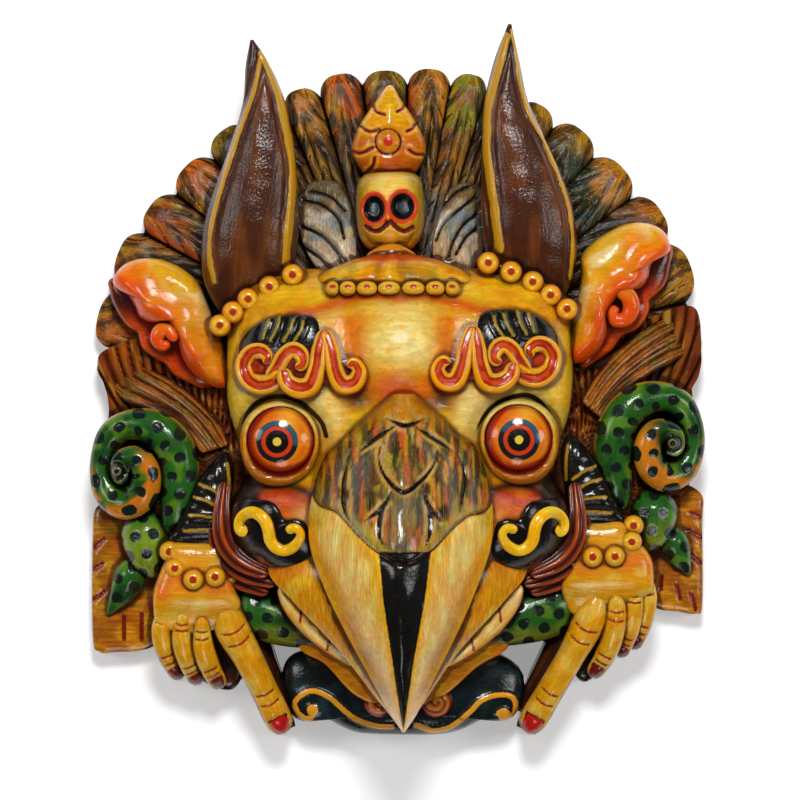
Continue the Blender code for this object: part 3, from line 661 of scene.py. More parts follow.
def make_eyes():
    """A ball in each socket inside a raised lid that hangs lower below."""
    for side, (x, y), iris in zip(("left", "right"), EYES, IRISES):
        turns = np.linspace(0, 2 * math.pi, 110, endpoint=False)
        ring = np.stack([x + EYE_RADIUS * np.cos(turns), y + EYE_RADIUS * np.sin(turns)], 1)
        hang = LID_HANG * np.clip(-np.sin(turns), 0, 1)[:, None] ** 2
        lid = (x, y) + (ring - (x, y)) * ((EYE_RADIUS + LID_WIDTH + hang) / EYE_RADIUS)

        def rim(px, py, rise, x=x, y=y):
            away = np.hypot(px - x, py - y)
            return rise + 4.4 * bell(away - 18.6, 2.2) + 3.4 * bell(away - 21.4, 2.6) * ramp(y - py, 4, 16)

        form = relief(f"{side}_lid", lid, (x, y), LID_RIM, LID_TOP, bulge=8, carve=rim, rounded=False)
        away, below = np.hypot(form.x - x, form.y - y), y - form.y
        form.base("C98A12").over("DCC468", ramp(-below, 0, 12)).over("C87A14", ramp(below, 8, 18))
        form.over("6E2206", 0.9 * ramp(below, 4, 14) * ramp(19.4 - away, 0, 1.5))
        form.line("5A1004", away - 17.1 - 0.8 * ramp(below, 4, 16), wobble=0.3)
        form.finish(streak=0.12, dirt=0.8)
        eye = relief(f"{side}_eye", ring, (x, y), EYE_RIM, EYE_TOP, bulge=2, step=0.8, rounded=False)
        paint_eye(eye, x, y, spot(iris, EYE_TOP))


def paint_eye(eye, x, y, iris):
    """An orange ball, darker at its lower left, with a painted highlight at its upper right, a ringed iris
    and a painted blue glint on it.
    """
    away = np.hypot(eye.x - x, eye.y - y)
    eye.base("DB8A12").over("D86A12", ramp(away, 9, 14) * ramp(x - eye.x, -9, 9))
    shaded = ramp(0.9 * (x - eye.x) + 0.7 * (y - eye.y), -6, 8)
    eye.over("8E1A04", ramp(away + 2.6 * shaded, 14.0, 15.4))
    eye.over("3A0C04", ramp(away + 0.8 * shaded, 15.8, 17))
    eye.over("D86A12", 0.8 * bell(away - 12, 1.5))
    # Painted highlight: a light spot at the upper right of the ball.
    eye.over("EFAE2C", 0.7 * bell(np.hypot(eye.x - x - 4, eye.y - y - 12), 5))
    out = np.hypot(eye.x - iris[0], eye.y - iris[1])
    for code, radius in IRIS_RINGS:
        eye.line(code, out - radius, wobble=0.25)
    # Painted reflection: a blue glint over the upper part of the iris's outer ring.
    blue_glint = np.maximum(np.abs(out - 9.1) - 1.1, 1.5 - (eye.y - iris[1]) - 0.35 * (eye.x - iris[0]))
    eye.line("235468", blue_glint, soft=0.8)
    eye.finish(streak=0.08, dirt=0.35, gloss=0.14, grain=0.4)


# The brows.

# Each row is a place in the photograph and half the width of the band. The bands stand over the face.
BROW_CURLS = {
    "outer": (
        (282, 371, 3.6), (273, 381, 4.6), (259, 384, 5.2), (247.5, 377, 5.1), (244, 364, 4.9),
        (250, 353.5, 4.5), (260, 351, 4.0), (267, 357, 3.2), (264, 364, 2.4),
    ),
    "bridge": (
        (268, 380, 3.6), (277, 368, 4.0), (284, 356, 4.2), (293, 350, 4.2), (301, 355, 4.0),
        (302, 364, 3.2), (295, 368, 2.4),
    ),
    "middle": (
        (282, 368, 3.6), (287, 382, 4.6), (299, 388.5, 5.2), (311, 384.5, 5.0), (317, 368, 4.4),
        (319, 350, 3.8), (323.5, 330, 2.6),
    ),
    "inner": (
        (325, 330, 2.6), (331, 350, 3.8), (334.5, 370, 4.4), (342, 384, 4.8), (354, 383, 4.6),
        (359.5, 372, 3.9), (354, 363, 3.1), (347, 366.5, 2.4),
    ),
}
BROW_BED = (
    (240, 372), (240, 358), (247, 348), (258, 345), (268, 349), (276, 356), (286, 348), (297, 345.5),
    (306, 351), (312, 345), (319, 338), (324, 333), (330, 338), (337, 349), (341, 362), (347, 358),
    (354, 358), (361, 366), (362, 378), (354, 389), (342, 391), (332, 386), (326, 383), (316, 391),
    (300, 394), (288, 388), (278, 384), (264, 390), (249, 387),
)
BROW_HUBS = {"bed": (310, 372), "hair": (281, 344)}
BROW_RIM = 68
BROW_TOP = 80
BROW_LEVEL = 84
CHANNEL = 0.43
BED_STAND = 5.0
BROW_STAND = 7.6
BROW_HAIR = (
    (238, 378), (237, 352), (241, 338), (254, 325), (272, 316.5), (296, 314), (316, 319), (318, 345),
    (300, 372), (262, 380),
)
HAIR_STAND = 4.0
BROW_STROKES = (
    ((268, 320), (265, 328), (262, 338)), ((279, 317), (276, 328), (270, 340)),
    ((293, 319), (289, 330), (283, 341)), ((303, 321), (300, 331), (293, 342)),
)
BROW_TURN = 797
BROW_SLANT = -0.05


def brow_rows(rows, right):
    """Rows of the left brow from the photograph, or the same on the right side."""
    rows = np.array(rows, float)
    if right:
        rows[:, 0] = BROW_TURN - rows[:, 0]
        rows[:, 1] += BROW_SLANT * (rows[:, 0] - BROW_TURN / 2)
    return from_photo(rows, BROW_LEVEL)


def brow_panel(name, outline, hub, right, **how):
    return relief(name, brow_rows(outline, right), brow_rows([hub], right)[0], BROW_RIM, BROW_TOP, **how)


def make_brows():
    """Curls and a split tongue over each eye, in gold with a red channel, and a block of hair."""
    for right, side in enumerate(("left", "right")):
        strokes = [smooth(brow_rows(line, right), 9) for line in BROW_STROKES]

        def locks(x, y, rise, strokes=strokes):
            near = near_strokes(x, y, strokes)
            over_edge = 2.4 * np.clip(BROW_TOP - rise, 0, 12) / 12
            level = face_level(x, y) + HAIR_STAND - over_edge
            return level + 1.0 * bell(near, 1.3) - 0.4 * bell(near - 2.6, 0.9)

        def flat(x, y, rise):
            return face_level(x, y) + BED_STAND - 2 * (BROW_TOP - rise) / 12

        hair = brow_panel(f"{side}_brow_hair", BROW_HAIR, BROW_HUBS["hair"], right, carve=locks, step=0.8)
        hair.base("100D0A").line("8E7A1E", near_strokes(hair.x, hair.y, strokes) - 0.75, wobble=0.9)
        hair.finish(streak=0.2, dirt=0.2, gloss=0.2)
        bed = brow_panel(f"{side}_brow_bed", BROW_BED, BROW_HUBS["bed"], right, carve=flat)
        bed.base("B83A0C").blotch("7A2008", 0.8, 3, 48, 0, 0.8).finish(streak=0.12, dirt=0.9)
        for i, (name, rows) in enumerate(BROW_CURLS.items()):
            rows = brow_rows(rows, right)
            tops = face_level(rows[:, 0], rows[:, 1]) + BROW_STAND + 0.4 * i
            form = ridge(f"{side}_{name}_curl", np.column_stack([rows, tops]), roundness=0.62, step=0.7)
            paint_curl(form, right)


def paint_curl(form, right):
    """Gold rims with a sunk red channel between them."""
    across, half = form.marks["offset"] * (-1 if right else 1), form.marks["half"]
    groove = ramp(CHANNEL - np.abs(across / half - 0.12), -0.12, 0.12)
    form.raise_by(np.where(half > 1.2, -1.1 * groove, 0), 60)
    form.base("E8A40C").over("B8500E", ramp(-across / half, 0.75, 0.98))
    form.over("E0AC3C", 0.6 * ramp(across / half, 0.6, 0.9))
    form.line("A02006", (np.abs(across / half - 0.12) - CHANNEL) * half)
    worn = (np.abs(across / half - 0.05) - CHANNEL * 0.4) * half + 0.5 * patches(form.x, form.y, 4, 45)
    form.line("CC4410", worn, soft=0.5, wobble=1.0)
    form.finish(streak=0.12, dirt=0.9, gloss=0.2)


# The beak.

# Stations down each beak: place, middle, half width, and the heights of its top, side and bottom.
UPPER_BEAK = (
    (-6, 3, 12, 84, 62, 40), (-20, 3, 26, 95, 66, 40), (-36, 2.5, 38, 107, 70, 42),
    (-55, 2, 44, 118, 73, 46), (-78, 1.5, 45, 126, 77, 52), (-100, 1.5, 38, 128, 82, 60),
    (-122, 2, 28, 125, 86, 66), (-145, 2.5, 16, 117, 89, 74), (-162, 3, 7, 107, 90, 83),
    (-171.5, 3, 0.8, 97, 91, 89),
)
LOWER_BEAK = (
    (-78, 0, 58, 74, 52, 40), (-94, 0, 64, 78, 54, 42), (-109, 0.5, 52, 80, 60, 46),
    (-133, 1, 29.5, 85, 69, 55), (-155, 2, 13, 89, 79, 66), (-170, 3, 1.5, 90, 87, 84),
)
UPPER_SIDES = 220
LOWER_SIDES = 150
UPPER_KEEL = 1.7
LOWER_KEEL = 2.2
CUT_TAPER = 0.9
# The mottled plate over the root of the beak, and the cuts in it.
CERE_EDGE = (
    (375, 398), (350, 420), (331, 440), (317, 465), (312, 487), (318, 504), (338, 513), (356, 532),
    (378, 551), (404, 562), (430, 550), (450, 530), (468, 516), (484, 512), (492, 500), (490, 476),
    (479, 454), (464, 435), (450, 420), (433, 399), (404, 392),
)
CERE_CUTS = (
    ((387, 419), (398, 424), (404.5, 426), (414, 424), (424.5, 419)), ((394, 427), (378, 437), (360, 452)),
    ((415, 427), (434, 439), (453, 452)),
    ((380, 447), (379, 462), (386, 478), (403, 492.5), (420, 482), (432, 468), (438, 452)),
    ((392, 491), (382, 508), (364, 522)), ((422, 491), (430, 508), (441, 522)),
    ((392, 491), (382, 511), (379, 534), (387, 551)), ((422, 491), (429, 509), (430, 531), (424, 551)),
    ((350, 452), (343, 487), (345.5, 514), (358, 530)), ((459, 456), (465, 474), (463, 494), (459, 516.6)),
    ((375, 405), (355, 418), (338, 436)), ((431, 405), (452, 420), (470, 440)),
)
# Colour, seed and threshold of each kind of fleck on the plate.
CERE_FLECKS = (
    ("B89A1C", 54, 0.3), ("8A7E24", 52, 0.5), ("C4541A", 51, 0.62), ("183A1A", 53, 0.62),
    ("2E1A0A", 55, 0.5), ("C88A1C", 57, 0.8),
)
CERE_LEVEL = 115
CUT_LEVEL = 117
STRIPE_LEVEL = 124
STRIPE = ((379, 552), (383, 600), (392, 660), (402.5, 730), (404, 730), (414, 660), (425, 600), (431, 552))

# The pale gums beside the lower beak: a place in the photograph, half width and height.
GUM = (
    ((280, 585), 2.5, 54), ((292, 603), 5.5, 56), ((311, 624), 6.5, 58), ((335, 646), 5, 62),
    ((356, 664), 2, 68),
)
GUM_LEVEL = 58
# The sum of the places across of the two gums.
GUM_SUM = 3
GUM_TICKS = (((302, 606), (300, 622)), ((331, 634), (327, 650)))


def tapered(x, y, cuts, level):
    """Distance to the nearest of the cuts, which run out to nothing at their ends."""
    found = []
    for cut in cuts:
        line = smooth(from_photo(cut, level), 8 * len(cut))
        distance, along, _ = beside(x, y, line)
        length = np.hypot(*np.diff(line, axis=0).T).sum()
        found.append(distance + CUT_TAPER * (1 - ramp(np.minimum(along, length - along), 0, 0.4 * length)))
    return np.min(found, axis=0)


def beak_section(keel):
    def section(rows, turn):
        across, up = np.cos(turn), np.sin(turn)
        _, x, half, top, side, bottom = (rows[:, i:i + 1] for i in range(6))
        over = side + (top - side) * (1 - np.abs(across) ** keel)
        return x + half * across, np.where(up >= 0, over, side + (side - bottom) * up)

    return section


def make_beak():
    make_upper_beak()
    make_lower_beak()
    make_gums()


def make_lower_beak():
    form = loft("lower_beak", LOWER_BEAK, LOWER_SIDES, beak_section(LOWER_KEEL))
    x, y, z = form.x, form.y, form.z
    form.base("D4920A").blotch("E0B428", 0.7, 8, 43, 0, 0.8)
    form.over("C05A0E", ramp(100 + y, 0, 16) * ramp(np.abs(x), 40, 56))
    form.flow = np.stack([y + 0.6 * np.abs(x), x, z], 1)
    form.finish(streak=0.25, dirt=0.9, long=9, fine=1.4)


def make_gums():
    """Pale strips beside the lower beak, with short red strokes."""
    rows = [(*spot(place, GUM_LEVEL), *row) for place, *row in GUM]
    for right, side in enumerate(("left", "right")):
        gum = ridge(f"{side}_gum", on_side(rows, right, GUM_SUM), roundness=0.5)
        gum.base("E2C478").over("B8741A", ramp(np.abs(gum.marks["offset"]) / gum.marks["half"], 0.6, 0.95))
        ticks = [on_side(from_photo(tick, GUM_LEVEL), right, GUM_SUM) for tick in GUM_TICKS]
        gum.line("8E2A12", near_strokes(gum.x, gum.y, ticks) - 0.7)
        gum.finish(streak=0.2, dirt=0.8)


def make_upper_beak():
    """The hooked upper beak, with its plate, the cuts in it and the sunk black stripe."""
    form = loft("upper_beak", UPPER_BEAK, UPPER_SIDES, beak_section(UPPER_KEEL), step=0.76)
    x, y, z = form.x, form.y, form.z.copy()
    top = ramp(z, 68, 78)
    cere = within(x, y, from_photo(CERE_EDGE, CERE_LEVEL))
    form.raise_by((1.6 * ramp(-cere, -1.0, 1.6) - 1.2 * bell(cere - 0.6, 0.9)) * top)
    cuts = tapered(x, y, CERE_CUTS, CUT_LEVEL)
    form.raise_by((-1.9 * bell(cuts, 1.0) - 1.2 * bell(cuts, 3.8)) * top)
    stripe = within(x, y, from_photo(STRIPE, STRIPE_LEVEL), rounded=False)
    form.raise_by(-0.8 * ramp(-stripe, -0.6, 0.8) * top)
    form.raise_by(0.25 * patches(x, y, 7, 41))

    side = np.abs(x - 2.5)
    form.base("E8AE0C").over("E6C440", 0.9 * ramp(patches(x * 1.7, y * 0.3 + 0.5 * side, 8, 42), -0.5, 0.4))
    form.over("F2DC78", 0.7 * ramp(patches(x * 2.2, y * 0.35 + 0.7 * side, 6, 47), 0.1, 0.8))
    border = (172 + y) * 0.47
    form.over("E8A806", ramp(side - border, -6, -2)).over("E8B008", 0.9 * ramp(4 - stripe, 0, 3))
    # Painted shade: darker low on the flanks of the beak, above the lower beak.
    form.over("8A560A", 0.7 * ramp(80 - z, 0, 10) * ramp(cere, 3, 8))
    paint_cere(form, cere, cuts, side)
    form.line("0B0907", stripe, soft=0.3)
    form.line("200B05", cuts - 1.1, wobble=0.5)
    form.line("3A1806", np.abs(cere - 0.6) - 0.5, wobble=0.5)
    form.flow = np.stack([y * 0.28 * 3, x * 1.3, z], 1)
    form.finish(streak=0.26, scratches=("C8A850", 0.35), dirt=0.7, long=9, fine=1.0)


def paint_cere(form, cere, cuts, side):
    """Long flecks of many colours on the plate over the root of the beak, with a painted grey glare in its
    middle and painted highlights beside its cuts.
    """
    x, y = form.x, form.y
    inside = ramp(-cere, -0.4, 0.4)
    form.over("5A3A10", inside)
    for code, seed, limit in CERE_FLECKS:
        flecks = patches(x * 1.9, y * 0.32 + side * 0.25, 5, seed)
        form.over(code, inside * 0.9 * ramp(flecks, limit - 0.15, limit + 0.15))
    form.over("C88A12", inside * ramp(y, -24, -14) * 0.85)
    form.over("B09A2A", inside * 0.7 * bell(np.abs(cere) - 2.5, 2.5) * ramp(-y, 56, 66))
    # Painted reflection: a grey glare over the middle of the plate.
    form.over("6E6A5A", inside * 0.8 * bell(np.hypot(x - 3, (y + 64) * 0.45), 9))
    # Painted highlight: cream along the edges of the cuts.
    form.over("D0AE5E", inside * 0.85 * bell(cuts - 2.0, 0.8) * ramp(patches(x, y, 9, 56), -0.6, 0.3))


# Moustache and beard.

MOUSTACHE_RIM = 60
MOUSTACHE_HUB = (270, 534)
MOUSTACHE_BODY = (
    (230, 528), (231, 511), (240, 499.5), (255.5, 501), (270, 503), (278, 509.5), (284, 520), (295, 519.5),
    (304, 524), (307.5, 536), (309, 553), (298, 565), (284, 567.5), (270, 563), (259, 555), (245, 553),
    (234, 543),
)
# Each row is a place in the photograph and half the width of the band.
MOUSTACHE_CURL = (
    (247.5, 531.5, 3.3), (240.5, 530, 2.9), (239.5, 521.5, 2.6), (245, 514.5, 2.7), (253, 512.3, 2.7),
    (261, 516, 2.8), (266.5, 523, 2.9), (269, 532, 2.8), (270.5, 540, 2.9), (275.5, 547, 2.8),
    (284, 550.5, 2.5), (292.5, 547.5, 2.5), (298.5, 541.5, 2.3), (301, 534.5, 2.0), (297.5, 528.5, 2.0),
    (291.5, 528.5, 2.2), (288, 533, 2.4),
)
MOUSTACHE_LEVEL = 66
# The sums of the places across of the two moustaches and of the two beards.
MOUSTACHE_SUM = 4
BEARD_SUM = 2
CURL_STAND = 6.6
CURL_SPREAD = 1.1
BODY_SPREAD = 1.06
# Each row is a place, half a width and the height of the top.
BEARD = (
    (
        (-86, -50, 2, 46), (-87.5, -66, 3, 50), (-86, -79, 3.4, 51), (-78, -89, 3.4, 52),
        (-64, -95.5, 2.2, 54),
    ),
    (
        (-89, -58, 2, 42), (-90, -73, 3.2, 45), (-86, -86, 3.6, 46), (-76, -94.5, 3.6, 48),
        (-60, -100, 2.2, 50),
    ),
    ((-90, -74, 2, 38), (-87, -89, 3.6, 41), (-79, -98, 3.6, 43), (-64, -104.5, 2.2, 46)),
)
BEARD_SPREAD = 1.45


def make_moustache():
    """A gold curl on a black pillow on each cheek."""

    def pillow(x, y, rise):
        return face_level(x, y) + 0.5 + 0.28 * (rise - MOUSTACHE_RIM)

    for right, side in enumerate(("left", "right")):
        outline, hub, rows = (on_side(from_photo(pixels, MOUSTACHE_LEVEL), right, MOUSTACHE_SUM)
                              for pixels in (MOUSTACHE_BODY, [MOUSTACHE_HUB], MOUSTACHE_CURL))
        outline = hub[0] + (outline - hub[0]) * BODY_SPREAD
        body = relief(f"{side}_moustache", outline, hub[0], MOUSTACHE_RIM, MOUSTACHE_RIM + 10, carve=pillow)
        body.base("0E0B09").finish(streak=0.15, dirt=0.1, gloss=0.16)
        rows[:, 2] *= CURL_SPREAD
        tops = face_level(rows[:, 0], rows[:, 1]) + CURL_STAND
        curl = ridge(f"{side}_moustache_curl", np.column_stack([rows, tops]), roundness=0.6, step=0.7)
        curl.base("F0BE08").blotch("F4D236", 0.8, 7, 46, -0.2, 0.7)
        curl.over("B8740E", ramp(np.abs(curl.marks["offset"]), 2.6, 3.2)).finish(streak=0.1, dirt=0.7)


def make_beard():
    """Swept strands below each moustache, each cut into finer hairs."""
    for right, side in enumerate(("left", "right")):
        for i, rows in enumerate(BEARD):
            rows = on_side(rows, right, BEARD_SUM)
            rows[:, 2] *= BEARD_SPREAD
            strand = ridge(f"{side}_beard_{i}", rows, roundness=0.6, step=0.8)
            hair = np.cos(strand.marks["offset"] / strand.marks["half"] * 2.2 * math.pi)
            strand.raise_by(0.55 * hair, 30)
            # Painted highlight on the crest of each hair and painted shade in the cuts between them.
            strand.base("7A260C").over("C0601A", 0.7 * ramp(hair, 0.5, 1))
            strand.over("2E0E06", 0.9 * ramp(-hair, 0.3, 0.9)).finish(streak=0.3, dirt=0.9)


# Horns.

# Each row is a place, half a width and half a depth.
HORNS = {
    "left": (
        (-74, 36, 36, 15, 9), (-75, 52, 39, 22, 12), (-73.5, 70, 41, 23.7, 13),
        (-71.5, 85.5, 42, 22.3, 12.5), (-67.5, 114, 43, 16.6, 10.5), (-66.5, 137.5, 44, 11, 8),
        (-70, 158, 45, 5.8, 5), (-72.5, 170.2, 46, 0.8, 0.8),
    ),
    "right": (
        (68.5, 38, 36, 14, 9), (67.5, 58, 39, 21.5, 12), (65.7, 74.5, 41, 23.2, 13),
        (63.3, 90.5, 42, 22.2, 12.5), (57.7, 118, 43, 16, 10.5), (54.2, 138, 44, 11.2, 8),
        (54.4, 160, 45, 6.3, 5), (55.9, 178, 46, 0.8, 0.8),
    ),
}
HORN_LINES = {
    "left": (
        (
            (260.4, 59.6), (253.5, 92.3), (236.3, 140.5), (217.4, 200.7), (210.5, 231.7), (209.6, 259),
            (214, 282),
        ),
        (
            (262, 54.4), (270.7, 71.6), (279.3, 97.5), (286.2, 130), (292, 157.7), (293, 183.5),
            (287.9, 235), (286, 262),
        ),
    ),
    "right": (
        ((506.5, 37), (495.7, 78), (488.9, 102), (486.3, 130), (487.2, 157), (494, 205), (499, 250)),
        (
            (512, 30), (516.3, 54), (521.5, 89), (531.7, 119.5), (545.5, 143.5), (564.3, 191.5),
            (571.2, 220.7), (573, 248), (571, 278),
        ),
    ),
}
HORN_SIDES = 110
HORN_LINE_LEVEL = 48
HORN_LINE_WIDTHS = {"left": (1.2, 2.0), "right": (2.1, 1.0)}
BEAD_BANDS = {"left": ((-88, 28), (-74, 41), (-52, 53)), "right": ((45, 59), (67, 49.5), (84, 36))}
BEAD_LEVEL = 55
BEADS_PER_HORN = 5
HORN_BEAD = (5.6, 5.6, 3.8)
BEAD_DOT = 1.8
BAND = (4.5, 49)


def painted_bead(name, middle, radii):
    """A flattened bead with a dot on its front."""
    bead = ball(name, middle, radii)
    away = np.hypot(*(bead.marks["ball"][:, :2] * radii[:2]).T)
    front = bead.marks["ball"][:, 2] > 0
    bead.raise_by(np.where(front, -0.35 * bell(away, 2.4), 0))
    bead.base("DA960C").over("E6B828", 0.8 * bell(away - 2.8, 1.2)).over("9A4A0C", ramp(away, 4.4, 5.4))
    bead.line("A02A0C", np.where(front, away - BEAD_DOT, 9))
    bead.finish(streak=0.1, dirt=0.7)


def make_horns():
    """Smooth brown horns with a gold line along each side, and a string of beads round each foot."""
    for side, rows in HORNS.items():
        horn = limb(f"{side}_horn", rows, HORN_SIDES, step=1.0)
        x, y, up = horn.x, horn.y, horn.marks["up"]
        lines = [near_line(x, y, from_photo(line, HORN_LINE_LEVEL)) for line in HORN_LINES[side]]
        nearest = np.minimum(*(line - width for line, width in zip(lines, HORN_LINE_WIDTHS[side]))) + 1.7
        front = ramp(up, 0.02, 0.25) * ramp(y, 28, 40)
        horn.raise_by(front * (1.3 * bell(nearest, 1.7) - 1.0 * bell(nearest - 3.1, 1.1)))
        horn.raise_by(0.12 * front * patches(x, y, 7, 61))
        horn.base("441F08").over("643610", 0.8 * ramp(patches(x * 1.5, y * 0.5, 12, 62), -0.2, 0.8))
        horn.over("240F08", 0.8 * ramp(y, 150, 168))
        horn.line("B8860E", np.where(up > -0.1, nearest - 1.7 - 0.2 * patches(x, y, 7, 63), 9), wobble=0.6)
        horn.flow = np.stack([horn.marks["run"], horn.marks["offset"], up * 5], 1)
        horn.finish(streak=0.2, dirt=0.8, gloss=0.34, grain=2.2, coat=0.8)
    for side, line in BEAD_BANDS.items():
        band = ridge(f"{side}_bead_band", [(*place, *BAND) for place in line])
        band.base("7A3A10").finish(streak=0.2, dirt=1.2)
        for i, (x, y) in enumerate(smooth(line, BEADS_PER_HORN)):
            painted_bead(f"{side}_horn_bead_{i}", (x, y, BEAD_LEVEL), HORN_BEAD)


# Ears.

# Outlines of the ears in the photograph, the line between their pale and red parts, the layer behind them,
# and the curl: each row of it is a place and half a width.
EAR_LEVEL = 42
EARS = {
    "left": {
        "outline": (
            (112, 280), (121, 266), (137, 258.5), (157, 258.5), (176, 265), (191, 275.5), (201, 289),
            (208, 307), (215, 325), (222.5, 343), (226, 365), (225.5, 386), (214, 387), (200, 380),
            (188, 368), (181, 356), (178, 345), (172, 332), (163, 322), (150, 322), (139, 316.5),
            (133, 304), (127, 295), (117, 289),
        ),
        "hub": (190, 318),
        "warm": ((112, 283), (127, 295), (139, 316), (160, 322), (178, 350), (200, 380), (218, 388)),
        "back": (
            (111, 278), (110, 294), (117, 312), (127, 326), (137, 333), (141, 347), (153, 357), (165, 364),
            (174, 375), (190, 383), (203, 388), (215, 380), (205, 330), (150, 280),
        ),
        "back_hub": (165, 332),
        "opening": (119, 300),
        "curl": (
            (176, 341, 3), (168, 330, 4.6), (160, 332, 5.0), (157.5, 340, 4.6), (163, 345.5, 3.6),
            (168, 340, 2.8),
        ),
    },
    "right": {
        "outline": (
            (582, 256), (595, 241), (612, 230), (627, 223.5), (643, 222), (658, 226), (667.5, 234.5),
            (671, 247), (668, 254), (658, 257), (651.5, 266), (649, 277), (642, 287), (631, 291),
            (616, 300), (608, 316), (607.5, 331), (604, 342), (597, 352), (586.5, 360.5), (574, 362.5),
            (570, 350), (569.5, 329), (574, 312), (579, 295), (582, 276),
        ),
        "hub": (597, 290),
        "warm": ((669, 256), (652, 266), (643, 286), (624, 298), (607, 330), (590, 358), (574, 364)),
        "back": (
            (671, 244), (670, 268), (666, 283), (658, 293), (650.5, 300), (649.5, 310), (645, 320.5),
            (637, 329), (624, 335), (618, 342), (612, 350), (597, 360.5), (582, 367), (580, 340),
            (600, 290), (640, 240),
        ),
        "back_hub": (618, 312),
        "opening": (660, 268),
        "curl": (
            (609, 287, 3), (619, 288.5, 5.0), (629, 297, 5.2), (631.5, 309, 5.2), (626, 318.5, 4.8),
            (616.5, 319.5, 4.6), (613, 312, 4.0), (619, 308.5, 3.0),
        ),
    },
}
EAR_HEIGHTS = (32, 44)
EAR_BACK_LEVEL = 28
EAR_BACK_HEIGHTS = (23, 28)
EAR_CURL_TOPS = (44, 41)
CURL_SLIM = 0.62


def spiral(x, y, middle, pitch, start, right):
    """Distance to a spiral line that widens by one pitch each turn."""
    dx, dy = x - middle[0], y - middle[1]
    out = np.hypot(dx, dy)
    turn = np.arctan2(dy, dx) * (-1 if right else 1) / (2 * math.pi)
    phase = (out / pitch - turn + start) % 1
    return np.abs(phase - 0.5) * pitch


def make_ears():
    """A swollen lobe over a thin red layer with the opening, and a curl in front."""
    for side, ear in EARS.items():
        warm = from_photo(ear["warm"], EAR_LEVEL)
        opening = spot(ear["opening"], EAR_LEVEL)

        def swell(x, y, rise, warm=warm):
            near = near_line(x, y, warm)
            return rise + 2.2 * bell(near - 5, 4) - 1.0 * bell(near - 14, 5) + 0.25 * patches(x, y, 7, 74)

        edge = from_photo(ear["back"], EAR_BACK_LEVEL)
        hub = spot(ear["back_hub"], EAR_BACK_LEVEL)
        back = relief(f"{side}_ear_back", edge, hub, *EAR_BACK_HEIGHTS, step=1.5)
        # Painted shadow of the ear over the middle of this layer, and painted shade in the opening.
        back.base("CE4E10").over("A82A08", ramp(-within(back.x, back.y, edge), 2, 6))
        back.over("3A0A04", 0.95 * bell(np.hypot(back.x - opening[0], back.y - opening[1]), 11))
        back.finish(streak=0.2, dirt=0.6)
        form = relief(f"{side}_ear", from_photo(ear["outline"], EAR_LEVEL), spot(ear["hub"], EAR_LEVEL),
                      *EAR_HEIGHTS, bulge=3, carve=swell)
        x, y = form.x, form.y
        near = near_line(x, y, warm) + 2.5 * patches(x, y, 10, 72)
        # Cream patches on the upper part: cream paint and a painted highlight.
        form.base("DCA81A").over("EACB8A", 0.9 * ramp(patches(x, y, 9, 73), -0.1, 0.7) * ramp(near, 10, 22))
        form.over("DE820C", ramp(21 - near, 0, 10)).over("DC5208", ramp(11 - near, 0, 7))
        form.finish(streak=0.12, dirt=0.8, gloss=0.2, grain=1.4)
        rows = from_photo(ear["curl"], EAR_LEVEL)
        rows[:, 2] /= PIXELS_PER_UNIT * CURL_SLIM
        tops = np.linspace(*EAR_CURL_TOPS, len(rows))
        curl = ridge(f"{side}_ear_curl", np.column_stack([rows, tops]), step=0.7)
        curl.base("DC5208").over("E0780E", 0.8 * ramp(curl.y - rows[:, 1].mean(), 0, 6))
        curl.finish(streak=0.1, dirt=0.9, gloss=0.2)


# Snakes.

# Each row is a place, half a width and the height of the top.
LEFT_COIL = (
    (-112, -78, 4, 34), (-110.5, -66, 7.5, 40), (-108.5, -49, 10, 44), (-111, -33, 10, 45),
    (-121, -23, 9, 44), (-134, -21.5, 7.5, 41), (-143.5, -27.5, 7, 37), (-147.5, -42, 6.5, 34),
    (-144.5, -55, 7.7, 36), (-136, -60.5, 8.3, 40), (-127.5, -56, 8, 44), (-125, -46, 7.4, 46),
    (-129.5, -38.5, 6.4, 46), (-136.5, -39.5, 6, 45), (-138, -46, 5, 44), (-134.5, -49, 3.5, 44),
)
RIGHT_COIL = (
    (111, -65, 4, 34), (109.5, -53, 7.5, 40), (107.5, -37, 10, 44), (110.5, -20, 9.8, 45),
    (120, -9.8, 8.8, 44), (132, -7.2, 7.3, 41), (142, -11.5, 6.5, 38), (147.5, -22.5, 5.6, 35),
    (147.3, -34, 6.2, 34), (142.5, -44, 7.2, 36), (134, -47.5, 7.5, 40), (126.5, -42, 7.3, 44),
    (124.5, -32.5, 7, 46), (129, -25, 6.3, 46), (136, -26, 6, 45), (138, -32, 5, 44),
    (134.5, -35.5, 3.5, 44),
)
SNAKE_FORMS = (
    ("left_lobe", ((-128, -63, 9, 32), (-126, -76, 12.3, 36), (-124, -88, 10, 34), (-121, -98, 4, 27))),
    (
        "left_tail",
        ((-131, -88, 5, 24), (-134, -97, 8, 27), (-138.5, -106, 6.2, 24), (-145.5, -117, 0.8, 17)),
    ),
    ("right_lobe", ((128.5, -52, 9, 32), (128.3, -64, 12, 36), (127.5, -75, 9.5, 34), (125, -85, 4, 27))),
    ("right_tail", ((135, -72, 5, 24), (138.2, -80, 7.4, 27), (142, -88, 5.6, 24), (146.5, -97, 0.8, 17))),
    ("left_body", ((-84, -106, 11, 38), (-64, -117, 13, 42), (-44, -121, 12, 44), (-24, -122, 10, 44))),
    ("right_body", ((92, -107, 13, 38), (72, -114, 15, 42), (54, -119, 13, 44), (32, -122, 10, 44))),
)
COIL_LEVEL = 44
